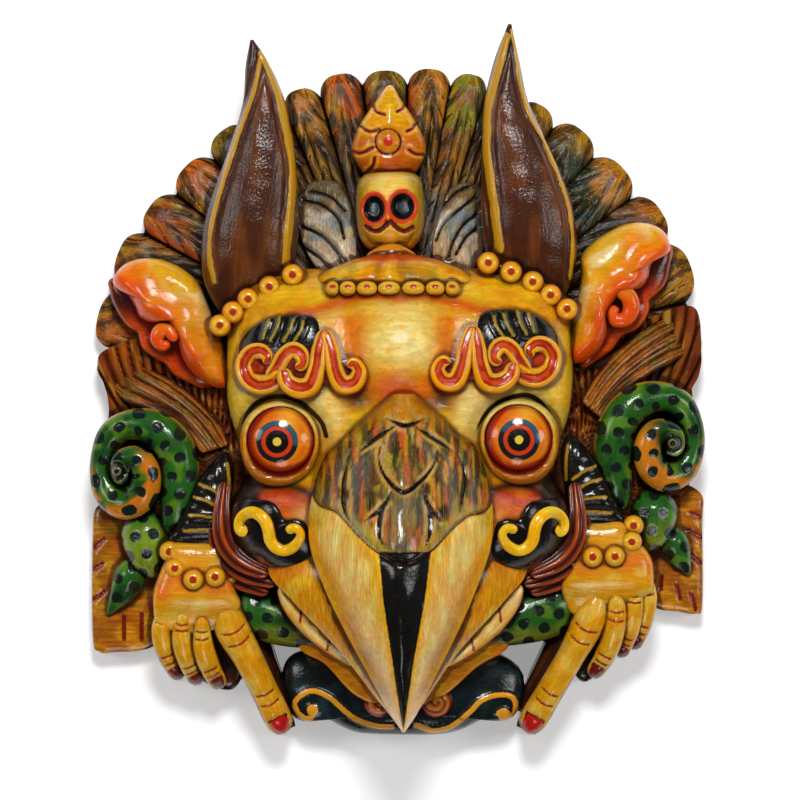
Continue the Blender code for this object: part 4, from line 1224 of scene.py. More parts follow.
# How far the orange reaches over the inner turn on the left (-1) and on the right (1).
BELLY_TURNS = {-1: 0.8, 1: 1.3}
SNAKE_EYE_RINGS = (("4A6A3A", 5.6), ("11120A", 4.8), ("6A6A40", 2.3), ("11120A", 1.4))
SNAKE_EYES = {"left_coil": (116.7, 471.2), "right_coil": (672.8, 443.4)}
DOT_RADIUS = 2.8
DOT_PITCH = 9.2


def scale_dots(run, offset):
    """Distance to the nearest of the dots that stand in staggered rows along a body."""
    row = np.floor(run / DOT_PITCH)
    shift = np.where(row % 2 > 0, 0.5, 0.0) * DOT_PITCH
    jitter = 1.2 * np.sin(row * 12.9)
    along = run - (row + 0.5) * DOT_PITCH + jitter
    across = (offset + shift + DOT_PITCH / 2 + jitter) % DOT_PITCH - DOT_PITCH / 2
    return np.hypot(along, across)


def make_snakes():
    """Green bodies with staggered dark dots, a coil with an eye on each side."""
    for name, rows in (("left_coil", LEFT_COIL), ("right_coil", RIGHT_COIL), *SNAKE_FORMS):
        body = ridge(name, rows, step=0.9)
        run, offset, half = (body.marks[mark] for mark in ("run", "offset", "half"))
        side = 1 if name.startswith("right") else -1
        body.base("225E1C").blotch("14401C", 0.8, 10, 81, 0, 0.8).blotch("5A8A22", 0.7, 8, 82, 0.2, 0.9)
        if name.endswith("body"):
            body.over("6E7E22", 0.9 * ramp(-body.y, 119, 128))
        if name.endswith("lobe"):
            body.over("86A02A", 0.8 * ramp(-body.y, 66, 80))
        if name.endswith("coil"):
            paint_belly(body, run / body.marks["length"], offset * side / half, BELLY_TURNS[side])
        dots = scale_dots(run, offset)
        body.raise_by(-0.35 * ramp(DOT_RADIUS - dots, 0, 1), 15)
        body.line("0E1C14", dots - DOT_RADIUS + 0.3 * patches(body.x, body.y, 3, 83), wobble=0.5)
        if name in SNAKE_EYES:
            eye = spot(SNAKE_EYES[name], COIL_LEVEL)
            out = np.hypot(body.x - eye[0], body.y - eye[1])
            for code, radius in SNAKE_EYE_RINGS:
                body.line(code, out - radius)
            body.raise_by(-2.2 * bell(out - 4.4, 1.5) + 0.6 * bell(out, 2.2), 15)
        body.flow = np.stack([run, offset, body.z], 1)
        body.finish(streak=0.15, dirt=0.9, gloss=0.2)


def paint_belly(body, late, outer, inner_turn):
    """Orange on the inner turn of a coil, dark green at its heart and a gold rim along the outside."""
    inner_turn = inner_turn * ramp(late, 0.66, 0.74)
    belly = ramp(outer + 0.15 * patches(body.x, body.y, 5, 84), 0.45 - inner_turn, 0.85 - inner_turn)
    body.over("CC7A16", 0.95 * belly * ramp(late, 0.56, 0.62) * ramp(0.91 - late, 0, 0.05))
    body.over("0C2412", 0.85 * ramp(late, 0.84, 0.9) * bell(outer + 0.5, 0.6))
    body.over("B88A24", 0.8 * ramp(outer, 0.84, 0.97))


# Hands.

# Each row is a place, half a width and the height of the top.
HANDS = {
    "left": (
        ("thumb", ((-75, -120, 8, 26), (-69, -140, 8, 26), (-62, -158, 7.5, 26), (-57, -169, 6.5, 24))),
        (
            "little_finger",
            ((-116, -112, 5, 42), (-117.5, -124, 5.4, 40), (-115, -136, 5.2, 35), (-108.5, -149, 4, 26)),
        ),
        (
            "ring_finger",
            ((-107, -114, 5, 44), (-107.5, -128, 5.2, 42), (-104.5, -140, 5, 37), (-99, -151.5, 4.2, 27)),
        ),
        (
            "middle_finger",
            ((-97.5, -117, 5, 45), (-97, -132, 5.2, 43), (-93, -144, 5, 37), (-88, -153.5, 4.2, 27)),
        ),
        (
            "long_finger",
            (
                (-88, -104, 8.5, 42), (-83, -121, 9, 44.5), (-75.5, -136, 7.6, 42), (-67.5, -152, 6.9, 38),
                (-60.5, -167, 7, 35), (-56.2, -176, 5.2, 31),
            ),
        ),
    ),
    "right": (
        ("thumb", ((89, -118, 8, 26), (80, -137, 8, 26), (72, -153, 7.5, 26), (65, -168, 6.5, 24))),
        (
            "little_finger",
            ((124.5, -98, 4.6, 42), (125, -108, 4.6, 40), (122.5, -121, 4.6, 35), (117.5, -134, 3.6, 26)),
        ),
        (
            "ring_finger",
            ((118, -100, 4.8, 44), (118, -111, 5, 42), (116, -124, 4.8, 37), (111, -138, 3.6, 27)),
        ),
        (
            "middle_finger",
            ((109, -106, 5.4, 45), (109, -118, 5.6, 43), (105, -134, 5.4, 37), (97, -148, 4, 27)),
        ),
        (
            "long_finger",
            (
                (101, -102, 8, 42), (96, -118, 8.4, 44.5), (87, -136, 6.9, 41), (76, -155, 6.9, 38),
                (68.5, -168, 7, 35), (64.8, -176, 5.2, 31),
            ),
        ),
    ),
}
WRIST_BEADS = {
    "left": (
        (-113.5, -84.5, 40), (-110.7, -92.7, 44), (-101.5, -98.3, 47), (-90.6, -97, 46), (-83.5, -96, 40),
    ),
    "right": ((87.5, -88.5, 42), (97, -87, 47), (108, -86.7, 47), (116.5, -79.5, 44), (117.5, -71.5, 40)),
}
WRIST_BEAD = (5.3, 5.3, 4.5)
# Places along each finger, as shares, of its red knuckle lines, and where its nail starts, with its colour.
FINGER_LINES = {
    "little_finger": (0.12, 0.22, 0.66, 0.76),
    "ring_finger": (0.18, 0.26, 0.74, 0.82),
    "middle_finger": (0.2, 0.3, 0.72, 0.8),
    "long_finger": (0.28, 0.36, 0.72, 0.79),
}
NAILS = {
    "little_finger": (0.82, "701410"),
    "ring_finger": (0.86, "701410"),
    "middle_finger": (0.84, "701410"),
    "long_finger": (0.88, "C01808"),
}
NAIL_WIDTH = 0.72
PALMS = {
    "left": (
        (
            (171, 542), (196, 541.5), (222, 542), (227, 562), (235.5, 588), (240, 606), (230, 622),
            (214, 630), (193, 636), (172, 632), (156, 624), (153, 605), (153, 590), (160, 571), (167, 553),
        ),
        (195, 592),
    ),
    "right": (
        (
            (623, 521), (602, 521.5), (571, 523), (567, 545), (562, 566), (562, 590), (570, 612),
            (586, 618), (603, 612), (624, 606), (645, 597), (653, 588), (654, 566), (648, 552), (634, 536),
        ),
        (607, 570),
    ),
}
PALM_LEVEL = 44
PALM_RIM = 43.5
PALM_TOP = 46.5
PALM_SLOPE = 5.4
KNUCKLE_DROP = 0.6
KNUCKLE_NARROWING = 0.62
KNUCKLE_LINE = {"left": -112, "right": -103}


def make_hands():
    for side, limbs in HANDS.items():
        make_palm(side)
        for name, rows in limbs:
            make_finger(side, name, rows)
        for i, middle in enumerate(WRIST_BEADS[side]):
            painted_bead(f"{side}_wrist_bead_{i}", middle, WRIST_BEAD)


def paint_skin(form):
    form.base("DCA010").blotch("E4BE48", 0.7, 9, 91, -0.1, 0.8)


def make_palm(side):
    """The broad part of a hand, orange across its upper part, falling away where the fingers start."""
    outline, hub = from_photo(PALMS[side][0], PALM_LEVEL), spot(PALMS[side][1], PALM_LEVEL)
    line = KNUCKLE_LINE[side]

    def rounded_sides(x, y, rise):
        edge = ((PALM_TOP - rise) / (PALM_TOP - PALM_RIM)) ** 2
        return rise - 6 * edge * ramp(y - line, 0, 8) - PALM_SLOPE * ramp(line - y, -6, 10)

    palm = relief(f"{side}_palm", outline, hub, PALM_RIM, PALM_TOP, bulge=4, carve=rounded_sides)
    paint_skin(palm)
    down = (palm.y - hub[1]) / (outline[0, 1] - hub[1])
    palm.over("D49A1E", 0.8 * ramp(down, 0.5, 0.8))
    palm.over("DC6E18", 0.85 * bell(down - 0.2 + 0.1 * patches(palm.x, palm.y, 8, 92), 0.26))
    palm.finish(streak=0.15, dirt=0.9)


def make_finger(side, name, rows):
    """A finger with red knuckle lines and a nail, or the dark thumb, whose brown is partly painted shade.
    """
    rows = np.array(rows, float)
    if name in NAILS:
        rows[0, 2] *= KNUCKLE_NARROWING
        rows[:2, 3] -= KNUCKLE_DROP
    part = ridge(f"{side}_{name}", rows, step=0.9)
    run, offset, half = (part.marks[mark] for mark in ("run", "offset", "half"))
    if name in NAILS:
        paint_skin(part)
        length = part.marks["length"]
        for place in FINGER_LINES[name]:
            bow = run - place * length + 0.05 * offset**2
            part.line("8E2A10", np.maximum(np.abs(bow) - 0.6, np.abs(offset) - NAIL_WIDTH * half), soft=0.3)
            part.raise_by(-0.5 * bell(bow, 0.9), 20)
        start, code = NAILS[name]
        beyond = run - start * length
        away = np.maximum(np.abs(offset) - NAIL_WIDTH * half, -beyond)
        part.line(code, away).line("5A0E08", np.maximum(np.abs(away + 0.2) - 0.5, 3 * (beyond - 2)))
        part.raise_by(-0.7 * bell(away, 0.8), 20)
    else:
        # Dark brown, darker still at the sides: the thumb's paint and painted shade beside the long finger.
        part.base("5A2E12").over("2A1208", 0.7 * ramp(np.abs(offset), 3, 8))
    part.flow = np.stack([run, offset, part.z], 1)
    part.finish(streak=0.15, dirt=0.9)


# Mane, wings and the backs of the hands.

# An outline and a hub for each side.
MANES = {
    "left": (
        (
            (-147, 16), (-150.5, 6), (-147.5, -1), (-145, -14), (-146, -50), (-120, -80), (-72, -84),
            (-68, -20), (-76, 4), (-120, 22),
        ),
        (-114, -28),
    ),
    "right": (
        (
            (148, 38), (152.5, 16), (151.5, 4), (146.5, -10), (148, -48), (120, -74), (74, -82), (70, -20),
            (78, 4), (118, 28),
        ),
        (116, -18),
    ),
}
WINGS = {
    "left": (
        (
            (-150.5, -62), (-153.3, -78), (-153.3, -128), (-150, -135.5), (-144, -136), (-120, -131),
            (-104, -100), (-112, -62), (-134, -56),
        ),
        (-130, -95),
    ),
    "right": (
        (
            (152.5, -56), (153.3, -72), (153.3, -112), (150, -116.5), (142, -115.5), (126, -111),
            (108, -84), (112, -58), (136, -50),
        ),
        (132, -84),
    ),
}
HAND_BACKS = {
    "left": (
        (
            (-113, -92), (-111, -138), (-98, -150), (-84, -154.5), (-77, -147), (-70, -136), (-61, -129),
            (-47, -104), (-54, -92), (-80, -80),
        ),
        (-86, -115),
    ),
    "right": (
        (
            (120, -84), (117, -126), (105, -142), (94, -150.5), (87, -144), (79, -132), (72, -129),
            (52, -102), (56, -92), (84, -78),
        ),
        (90, -112),
    ),
}
MANE_HEIGHTS = (15, 20)
MANE_CREST = 34
MANE_FALL = 18
WING_HEIGHTS = (12, 15)
HAND_BACK_HEIGHTS = (18, 22)
# The first and the last of the strands that sweep over each coil.
MANE_STRANDS = {
    "left": (
        ((118, 358), (152, 376), (186, 398), (212, 424), (226, 446)),
        ((99, 373), (122, 393), (148, 405), (176, 420), (206, 452)),
    ),
    "right": (
        ((690, 312), (662, 326), (632, 346), (604, 374), (584, 404)),
        ((700, 346), (678, 353), (650, 368), (622, 388), (598, 416)),
    ),
}
STRANDS = 7
STRAND_LEVEL = 34
# The black lock between each coil and the cheek, and the gold lines on it.
LOCK = (
    (171, 545), (176, 525), (186, 502), (196, 482), (210, 464), (226, 452), (234, 470), (230, 505),
    (224, 545),
)
LOCK_LINES = (
    ((199, 484), (211, 489), (222, 497)), ((194, 497), (207, 501), (220, 509)),
    ((189, 515), (204, 516), (218, 519)), ((184, 531), (200, 530), (218, 530)),
    ((227, 463), (229, 480), (229, 498)),
)
LOCK_HUB = (210, 505)
LOCK_LEVEL = 44
LOCK_HEIGHTS = (38, 45)
LOCK_TURN = 795
LOCK_LIFT = 18
WING_STROKES = {
    "left": (
        ((92.5, 549), (103.5, 539)), ((91.7, 570), (102, 563.6)), ((93, 599.5), (103.5, 591.5)),
        ((124, 616), (124, 640)), ((141.6, 613), (141.6, 640)),
    ),
    "right": (
        ((691, 513), (702, 518)), ((689.5, 530), (700.6, 537)), ((692.6, 554.7), (702, 564)),
        ((661.6, 575), (661, 589.6)), ((676.7, 585), (680, 599)), ((691, 593), (696, 610)),
    ),
}
# Where the strands of each mane meet.
MANE_SPREADS = {"left": (-84, -52), "right": (86, -46)}
STRANDS_PER_TURN = 84


def lock_rows(pixels, right):
    rows = np.array(pixels, float)
    if right:
        rows = (LOCK_TURN, -LOCK_LIFT) + rows * (-1, 1)
    return from_photo(rows, LOCK_LEVEL)


def strand_place(x, y, middle):
    """The turn round the point where the strands meet, bent a little, and the distance from it."""
    dx, dy = x - middle[0], y - middle[1]
    out = np.hypot(dx, dy)
    turn = np.arctan2(dy, np.abs(dx)) / (2 * math.pi)
    return turn - 0.0009 * out, out


def strand_wave(turn):
    """0 on the crest of a strand and 1 in the cut beside it."""
    return np.abs((turn * STRANDS_PER_TURN) % 1 - 0.5) * 2


def make_sides():
    make_manes()
    make_wings()
    for side, (outline, hub) in HAND_BACKS.items():
        back = relief(f"{side}_hand_back", outline, hub, *HAND_BACK_HEIGHTS, step=1.6)
        # The dark brown of the hand backs is brown paint and painted shade beside the fingers.
        back.base("4A2410").finish(streak=0.3, dirt=1.2)
    make_mane_strands()
    make_locks()


def make_manes():
    """Fine strands that spread from behind each cheek."""
    for side, (outline, hub) in MANES.items():
        spread = MANE_SPREADS[side]

        def strands(x, y, rise, spread=spread):
            turn, out = strand_place(x, y, spread)
            wave = strand_wave(turn)
            cut = 1.4 * ramp(out, 6, 26) * (1 - wave**2) - 0.8 * ramp(out, 6, 26) * bell(1 - wave, 0.2)
            return MANE_CREST - MANE_FALL * ramp(out, 10, 66) + cut

        mane = relief(f"{side}_mane", outline, hub, *MANE_HEIGHTS, carve=strands, step=1.1)
        turn, out = strand_place(mane.x, mane.y, spread)
        wave = strand_wave(turn)
        # Painted highlight on the crest of each strand.
        mane.base("74380A").over("A05C12", 0.8 * ramp(0.7 - wave, 0, 0.4))
        mane.over("6A2A10", 0.8 * ramp(patches(turn * 90, out * 0.4, 8, 104), 0.1, 0.7))
        mane.over("24401E", 0.8 * ramp(patches(turn * 70, out * 0.5, 8, 103), 0.2, 0.8) * ramp(out, 36, 50))
        # Painted shade in the cuts between the strands.
        mane.over("2A1408", 0.8 * ramp(wave, 0.72, 0.95))
        mane.flow = np.stack([out, turn * 60, mane.z], 1)
        mane.finish(streak=0.5, scratches=SCRATCHED, dirt=0.8, long=16, fine=0.8, gloss=0.5, coat=0.1)


def make_wings():
    """Low gold panels outside the hands, with red cuts at their edges."""
    for side, (outline, hub) in WINGS.items():
        strokes = [from_photo(line, WING_HEIGHTS[1]) for line in WING_STROKES[side]]

        def cuts(x, y, rise, strokes=strokes):
            return rise - 1.2 * bell(near_strokes(x, y, strokes), 1.2)

        wing = relief(f"{side}_wing", outline, hub, *WING_HEIGHTS, carve=cuts, step=1.4)
        wing.base("A8620A").blotch("CC9014", 0.8, 9, 102, -0.4, 0.7)
        wing.line("7A1A08", near_strokes(wing.x, wing.y, strokes) - 1.1)
        wing.finish(streak=0.35, dirt=0.8)


def make_mane_strands():
    """Separate strands laid side by side over each mane."""
    for side, ends in MANE_STRANDS.items():
        first, last = (from_photo(line, STRAND_LEVEL) for line in ends)
        for k in range(STRANDS):
            plan = first + (last - first) * k / (STRANDS - 1)
            half = np.interp(np.arange(len(plan)), (0, 1, 3, 4), (0.9, 3.0, 2.8, 1.6))
            top = np.interp(np.arange(len(plan)), (0, 1, 4), (10, 19, 38)) + 1.0 * np.sin(k * 2.4)
            strand = ridge(f"{side}_mane_strand_{k}", np.column_stack([plan, half, top]), roundness=0.6)
            across = np.abs(strand.marks["offset"])
            strand.base("8A4406").blotch("5A1E06", 0.8, 8, 105 + k, -0.3, 0.4)
            strand.blotch("2C4A1C", 0.6, 9, 115 + k, 0.3, 0.8)
            # Painted highlight along the top of each strand, and painted shade down its sides.
            strand.over("B8862A", 0.45 * bell(across - 0.8, 0.5))
            strand.over("2A1006", 0.9 * ramp(across, 1.6, 2.6))
            strand.finish(streak=0.4, scratches=SCRATCHED, dirt=0.8, long=16, fine=0.8, gloss=0.4, coat=0.4)


def make_locks():
    """A black lock with gold lines between each coil and the cheek."""
    for right, side in enumerate(("left", "right")):
        lines = [lock_rows(line, right) for line in LOCK_LINES]

        def grooves(x, y, rise, lines=lines):
            return rise - 0.8 * bell(near_curves(x, y, lines) - 3.6, 1.6)

        hub = lock_rows([LOCK_HUB], right)[0]
        lock = relief(f"{side}_lock", lock_rows(LOCK, right), hub, *LOCK_HEIGHTS, carve=grooves)
        lock.base("100D0A").line("A8801E", near_curves(lock.x, lock.y, lines) - 0.75, wobble=0.6)
        lock.finish(streak=0.2, dirt=0.2)


# The scroll and the chin.

SCROLL = (
    (282, 690), (283, 668), (293, 655), (312, 651), (330, 660), (345, 676), (362, 690), (385, 694),
    (403, 692), (422, 694), (445, 690), (462, 676), (478, 661), (495, 655), (511, 661), (522, 673),
    (525, 690), (521, 706), (512, 718), (500, 722), (488, 718), (478, 722), (462, 730), (440, 735),
    (402, 735.5), (362, 734), (345, 729), (330, 721), (320, 717), (310, 722), (297, 720), (286, 707),
)
SCROLL_LINES = (
    (
        (314, 712), (309, 720), (299, 715), (295, 702), (310.6, 691), (329, 697.4), (344, 710.4),
        (356.9, 719.6), (375.4, 726), (392, 727),
    ),
    (
        (416, 725), (433, 731), (451, 727), (470, 712), (481, 701), (495.7, 695.6), (510.6, 696.5),
        (516, 704.8), (513, 717), (504, 721), (499, 713),
    ),
)
SCROLL_BALLS = ((312.4, 710.4), (504, 714))
CHIN = (
    (-52, -104), (-50, -131), (-36, -141), (-20, -157), (1, -163), (22, -157), (40, -142), (56, -131),
    (58, -108), (2, -98),
)
# Name and place across of each stud.
STUDS = (("left_stud", -9), ("right_stud", 19.3))
STUD_DOWN = -159.5
STUD_LEVEL = 28
STUD_RADII = (8.5, 8.5, 10)
STUD_FINENESS = (48, 28)
STUD_PITCH = 3.6
STUD_START = 0.3
SCROLL_LEVEL = 26
SCROLL_HUB = (3, -165)
SCROLL_HEIGHTS = (19, 30)
CHIN_HUB = (1, -132)
CHIN_HEIGHTS = (36, 42)


def make_bottom():
    make_scroll()
    chin = relief("chin", CHIN, CHIN_HUB, *CHIN_HEIGHTS, step=1.4)
    chin.base("F0A60E").blotch("E07C14", 0.6, 9, 112, 0, 0.8)
    chin.finish(streak=0.2, dirt=0.7)
    make_studs()


def make_scroll():
    """A dark band with raised gold lines that end in a curl and a ball."""
    scroll = relief("scroll", from_photo(SCROLL, SCROLL_LEVEL), SCROLL_HUB, *SCROLL_HEIGHTS, step=1.1)
    lines = near_curves(scroll.x, scroll.y, [from_photo(line) for line in SCROLL_LINES])
    balls = np.min([np.hypot(scroll.x - x, scroll.y - y) for x, y in from_photo(SCROLL_BALLS)], axis=0)
    mark = np.minimum(lines - 1.3, balls - 2.8)
    scroll.raise_by(1.0 * ramp(-mark, -1.2, 0.6), 18)
    scroll.base("0E1A20").blotch("1E3840", 0.6, 8, 111, 0.1, 0.8)
    scroll.line("E09A22", mark).finish(streak=0.3, dirt=0.5, gloss=0.2)


def make_studs():
    """Two orange balls under the chin, each with a spiral cut."""
    for right, (name, x) in enumerate(STUDS):
        stud = ball(name, (x, STUD_DOWN, STUD_LEVEL), STUD_RADII, *STUD_FINENESS)
        out = np.hypot(stud.x - x, stud.y - STUD_DOWN)
        turn = spiral(stud.x, stud.y, (x, STUD_DOWN), STUD_PITCH, STUD_START, right)
        stud.raise_by(-0.8 * bell(turn, 0.7), STUD_LEVEL)
        stud.base("E0881A").over("B8340E", ramp(out, 5.6, 7.2)).over("8A2408", bell(turn, 0.8))
        stud.finish(streak=0.1, dirt=0.9)


# The skull, its jewel and what stands round them.

JEWEL = (
    (-4, 148.5), (-12.5, 138), (-18.5, 129), (-22.5, 119), (-21.5, 112), (-15, 103), (-4, 100), (7, 103),
    (13, 112), (13.8, 120), (9, 130), (2.5, 140),
)
JEWEL_CUTS = (
    ((372.8, 104.4), (376.4, 111.6), (384.8, 114.7)), ((405.2, 102), (402.8, 108), (396.8, 111.6)),
    ((360.8, 126), (369.2, 131.5), (378.8, 129.6)), ((415.5, 123.6), (412.4, 128.4), (406.9, 131.3)),
    ((352.9, 150.7), (360.8, 153.1), (372.8, 147.6)), ((409.3, 150), (416, 154), (423.9, 154)),
    ((374.5, 157.9), (372.8, 165.6), (365.6, 172)),
)
JEWEL_RING = (388, 141.6)
JEWEL_LEVEL = 38
RING_LEVEL = 40
JEWEL_HUB = (-4.5, 119)
JEWEL_HEIGHTS = (30, 41)
SKULL = (
    (390, 171), (411, 172), (421, 180), (424, 200), (424, 225), (419, 240), (408, 250), (390, 253),
    (372, 250), (361, 240), (356.5, 222), (356, 200), (358, 182), (368, 173),
)
SKULL_LEVEL = 45
SKULL_HUB = (-3.6, 87)
SKULL_HEIGHTS = (38, 52.5)
BONE_LEVEL = 50
# Middle, width and height of each eye socket of the skull.
SKULL_SOCKETS = (((374, 209), 11, 14), ((402.5, 206.5), 12.5, 14))
SKULL_MOUTH = ((366, 226), (374, 231), (382, 229), (390, 222), (397, 228), (405, 231), (413, 227))
CHEEK_CUTS = (((366, 235), (371, 243), (381, 244)), ((414, 233), (408, 242), (398, 243)))
NOSE_CUT = ((381, 213), (388, 223), (395, 213))
# Each row is a place, half a width and the height of the top.
PLUMES = {
    "left": ((-45, 103, 10, 15), (-40, 92, 13, 26), (-36, 80, 14, 33), (-32, 65, 12, 38), (-26, 50, 6, 42)),
    "right": ((40, 103, 10, 15), (37, 91, 12.5, 26), (33, 78, 13, 33), (29, 64, 12, 38), (24, 50, 6, 42)),
}
PLUME_CUTS = {
    "left": (
        ((303, 200), (321, 204), (338, 218), (344, 238)), ((302, 226), (321, 235), (336, 250), (345, 264)),
        ((304, 247), (321, 259), (333, 271)), ((310, 190), (330, 196), (345, 210)),
    ),
    "right": (
        ((477, 195), (463, 206), (444, 223), (436, 240)), ((477, 213), (463, 225), (453, 242), (449, 256)),
        ((477, 228), (466, 237), (456, 254)), ((474, 182), (456, 192), (440, 208)),
    ),
}
PLUME_LEVEL = 38
COLLAR = ((-16, 60, 3, 46), (-3, 63.5, 5.5, 52), (10, 60, 3, 46))
CROWN = ((-41, 50), (-24, 60), (-2, 64), (22, 60), (38, 50), (22, 43), (-2, 41), (-24, 43))
CROWN_HUB = (-2, 51)
CROWN_HEIGHTS = (50, 68)
CROWN_FOLDS = 7
HEM = 46
HEM_LEVEL = 62
CROWN_BEAD = (3.8, 5)
# Place across and half width of each bead under the crown.
CROWN_BEADS = ((-32, 3.4), (-24.5, 4.4), (-15, 5.4), (-4.2, 5.8), (7.8, 5.8), (18.6, 5), (27, 3.8))


def socket_depth(x, y):
    """Distance outside the nearer eye socket of the skull, in shares of its size."""
    found = []
    for place, wide, high in SKULL_SOCKETS:
        cx, cy = spot(place, BONE_LEVEL)
        found.append(np.hypot((x - cx) / (wide / 2), (y - cy) / (high / 2)) - 1)
    return np.minimum(*found)


def make_plumes():
    """Pale and grey plumes beside the skull, cut into strands."""
    for side, rows in PLUMES.items():
        plume = ridge(f"{side}_plume", rows, roundness=0.35, step=0.8)
        x, y = plume.x, plume.y
        cuts = near_curves(x, y, [from_photo(line, PLUME_LEVEL) for line in PLUME_CUTS[side]])
        plume.raise_by(-1.8 * bell(cuts, 1.3) + 0.5 * bell(cuts - 3, 1.5), 20)
        plume.base("A8957E").over("7C8A92", ramp(y + patches(x, y, 6, 121) * 5, 70, 78))
        plume.over("D0C2AC", 0.8 * ramp(patches(x, y * 0.5, 6, 122), 0, 0.8))
        plume.over("6A521E", 0.9 * ramp(y + 5 * patches(x, y, 6, 123), 82, 92))
        plume.line("241208", cuts - 0.8, wobble=0.8)
        plume.flow = np.stack([y, x, plume.z], 1)
        plume.finish(streak=0.35, scratches=("C8BEB0", 0.5), dirt=0.9, long=12, fine=0.9)


def make_jewel():
    """A pointed jewel with red cuts and a ring with a dot in it."""
    cuts = [from_photo(line, JEWEL_LEVEL) for line in JEWEL_CUTS]
    ring = spot(JEWEL_RING, RING_LEVEL)

    def facets(x, y, rise):
        near = near_curves(x, y, cuts)
        out = np.hypot(x - ring[0], y - ring[1])
        return rise - 1.4 * bell(near, 1.0) + 1.2 * bell(out, 5) - 1.2 * bell(out - 6.6, 0.9)

    jewel = relief("jewel", JEWEL, JEWEL_HUB, *JEWEL_HEIGHTS, bulge=2, carve=facets, step=0.8)
    near = near_curves(jewel.x, jewel.y, cuts)
    out = np.hypot(jewel.x - ring[0], jewel.y - ring[1])
    jewel.base("C0680A").over("E0A40E", ramp(jewel.y, 118, 132)).over("A84806", ramp(-jewel.y, -114, -104))
    jewel.over("ECB834", 0.5 * bell(near - 1.7, 0.7)).over("CC7A0E", ramp(6.2 - out, 0, 1))
    jewel.line("7A1206", near - 0.75, wobble=0.3).line("2A0E06", np.abs(out - 6.3) - 0.5, wobble=0.3)
    jewel.line("B8280C", out - 2.3, wobble=0.6).finish(streak=0.2, dirt=0.9)


def make_skull():
    """A small skull with sunk sockets, a jagged mouth and dark temples."""
    mouth = from_photo(SKULL_MOUTH, BONE_LEVEL)
    cuts = [from_photo(line, BONE_LEVEL) for line in CHEEK_CUTS]

    def bones(x, y, rise):
        hole = socket_depth(x, y)
        rise = rise - 6 * ramp(-hole, -0.05, 0.5) + 0.8 * bell(hole - 0.22, 0.16)
        rise = rise - 1.8 * bell(near_line(x, y, mouth), 1.1) - 1.2 * bell(near_strokes(x, y, cuts), 1.1)
        return rise + 0.8 * bell(np.hypot(x + 3, (y - 68.5) / 0.6), 5)

    outline = from_photo(SKULL, SKULL_LEVEL)
    skull = relief("skull", outline, SKULL_HUB, *SKULL_HEIGHTS, bulge=2.4, carve=bones, step=0.7)
    x, y = skull.x, skull.y
    hole = socket_depth(x, y)
    skull.base("DCA81E").over("8E741A", 0.8 * ramp(np.hypot((x + 3.8) / 17, (y - 87) / 22), 0.62, 0.95))
    skull.over("F0D878", 0.85 * bell(np.hypot(x + 3.8, y - 98), 8)).over("B8721A", 0.6 * ramp(-y, -78, -66))
    nose = near_line(x, y, from_photo(NOSE_CUT, BONE_LEVEL)) - 1.1
    skull.line("CC3C0E", np.minimum(6 * hole - 1.6, nose), wobble=0.4)
    skull.line("0C1014", 6 * hole + 0.4, wobble=0.3)
    skull.line("34444C", 6 * hole + 3.4 + patches(x, y, 4, 124), soft=1.2)
    skull.line("6E140A", near_line(x, y, mouth) - 1.2, wobble=0.8)
    skull.line("8A4A10", near_strokes(x, y, cuts) - 0.45, wobble=0.4)
    skull.finish(streak=0.15, dirt=0.8)


def make_collar():
    """A short roll under the skull's jaw, with a red dot."""
    collar = ridge("collar", COLLAR)
    collar.base("C0600F").over("D89A2A", 0.8 * ramp(collar.marks["offset"], 0.5, 3))
    collar.line("A81E0C", np.hypot((collar.x + 1.5) / 2.4, collar.y - 61.5) - 2.2)
    collar.finish(streak=0.2, dirt=0.9)


def make_crown():
    """Cloth gathered under the collar, with a row of beads along its hem."""

    def folds(x, y):
        return np.cos(CROWN_FOLDS * np.arctan2(x + 2, 72 - y) + 0.8 * patches(x, y, 14, 125))

    def gathered(x, y, rise):
        return rise + 0.6 * folds(x, y)

    crown = relief("crown", CROWN, CROWN_HUB, *CROWN_HEIGHTS, bulge=1.6, carve=gathered, step=0.8)
    fold = folds(crown.x, crown.y)
    # Painted shade in the hollows of the folds.
    crown.base("DE9A08").over("946A0A", 0.7 * ramp(-fold, 0.2, 0.9))
    crown.over("C2580C", ramp(47 - crown.y, 0, 4))
    # Painted highlight on the crests of the folds; the olive blotches are paint.
    crown.over("E0BC34", 0.7 * ramp(fold, 0.5, 1)).blotch("8A7A14", 0.6, 9, 126, 0, 1)
    crown.over("C04A0C", ramp(crown.y, 57, 62)).finish(streak=0.2, dirt=0.9)
    for i, (x, half) in enumerate(CROWN_BEADS):
        bead = ball(f"crown_bead_{i}", (x, HEM, HEM_LEVEL + half), (half, *CROWN_BEAD))
        bead.base("DAB02A").over("9A4A0C", ramp(-bead.y, -44, -43))
        bead.line("A8240C", np.hypot((bead.x - x) / 1.6, bead.y - 47) - 1.0, wobble=0.3)
        bead.finish(streak=0.1, dirt=0.9)


def make_crest():
    make_plumes()
    make_jewel()
    make_skull()
    make_collar()
    make_crown()


# The plain back.

CORE_DROP = 14
CORE_INSET = 1.5
SLIM_FROM = 110
CORE_LOWEST = 1.2
HORN_CORE_FROM = 112


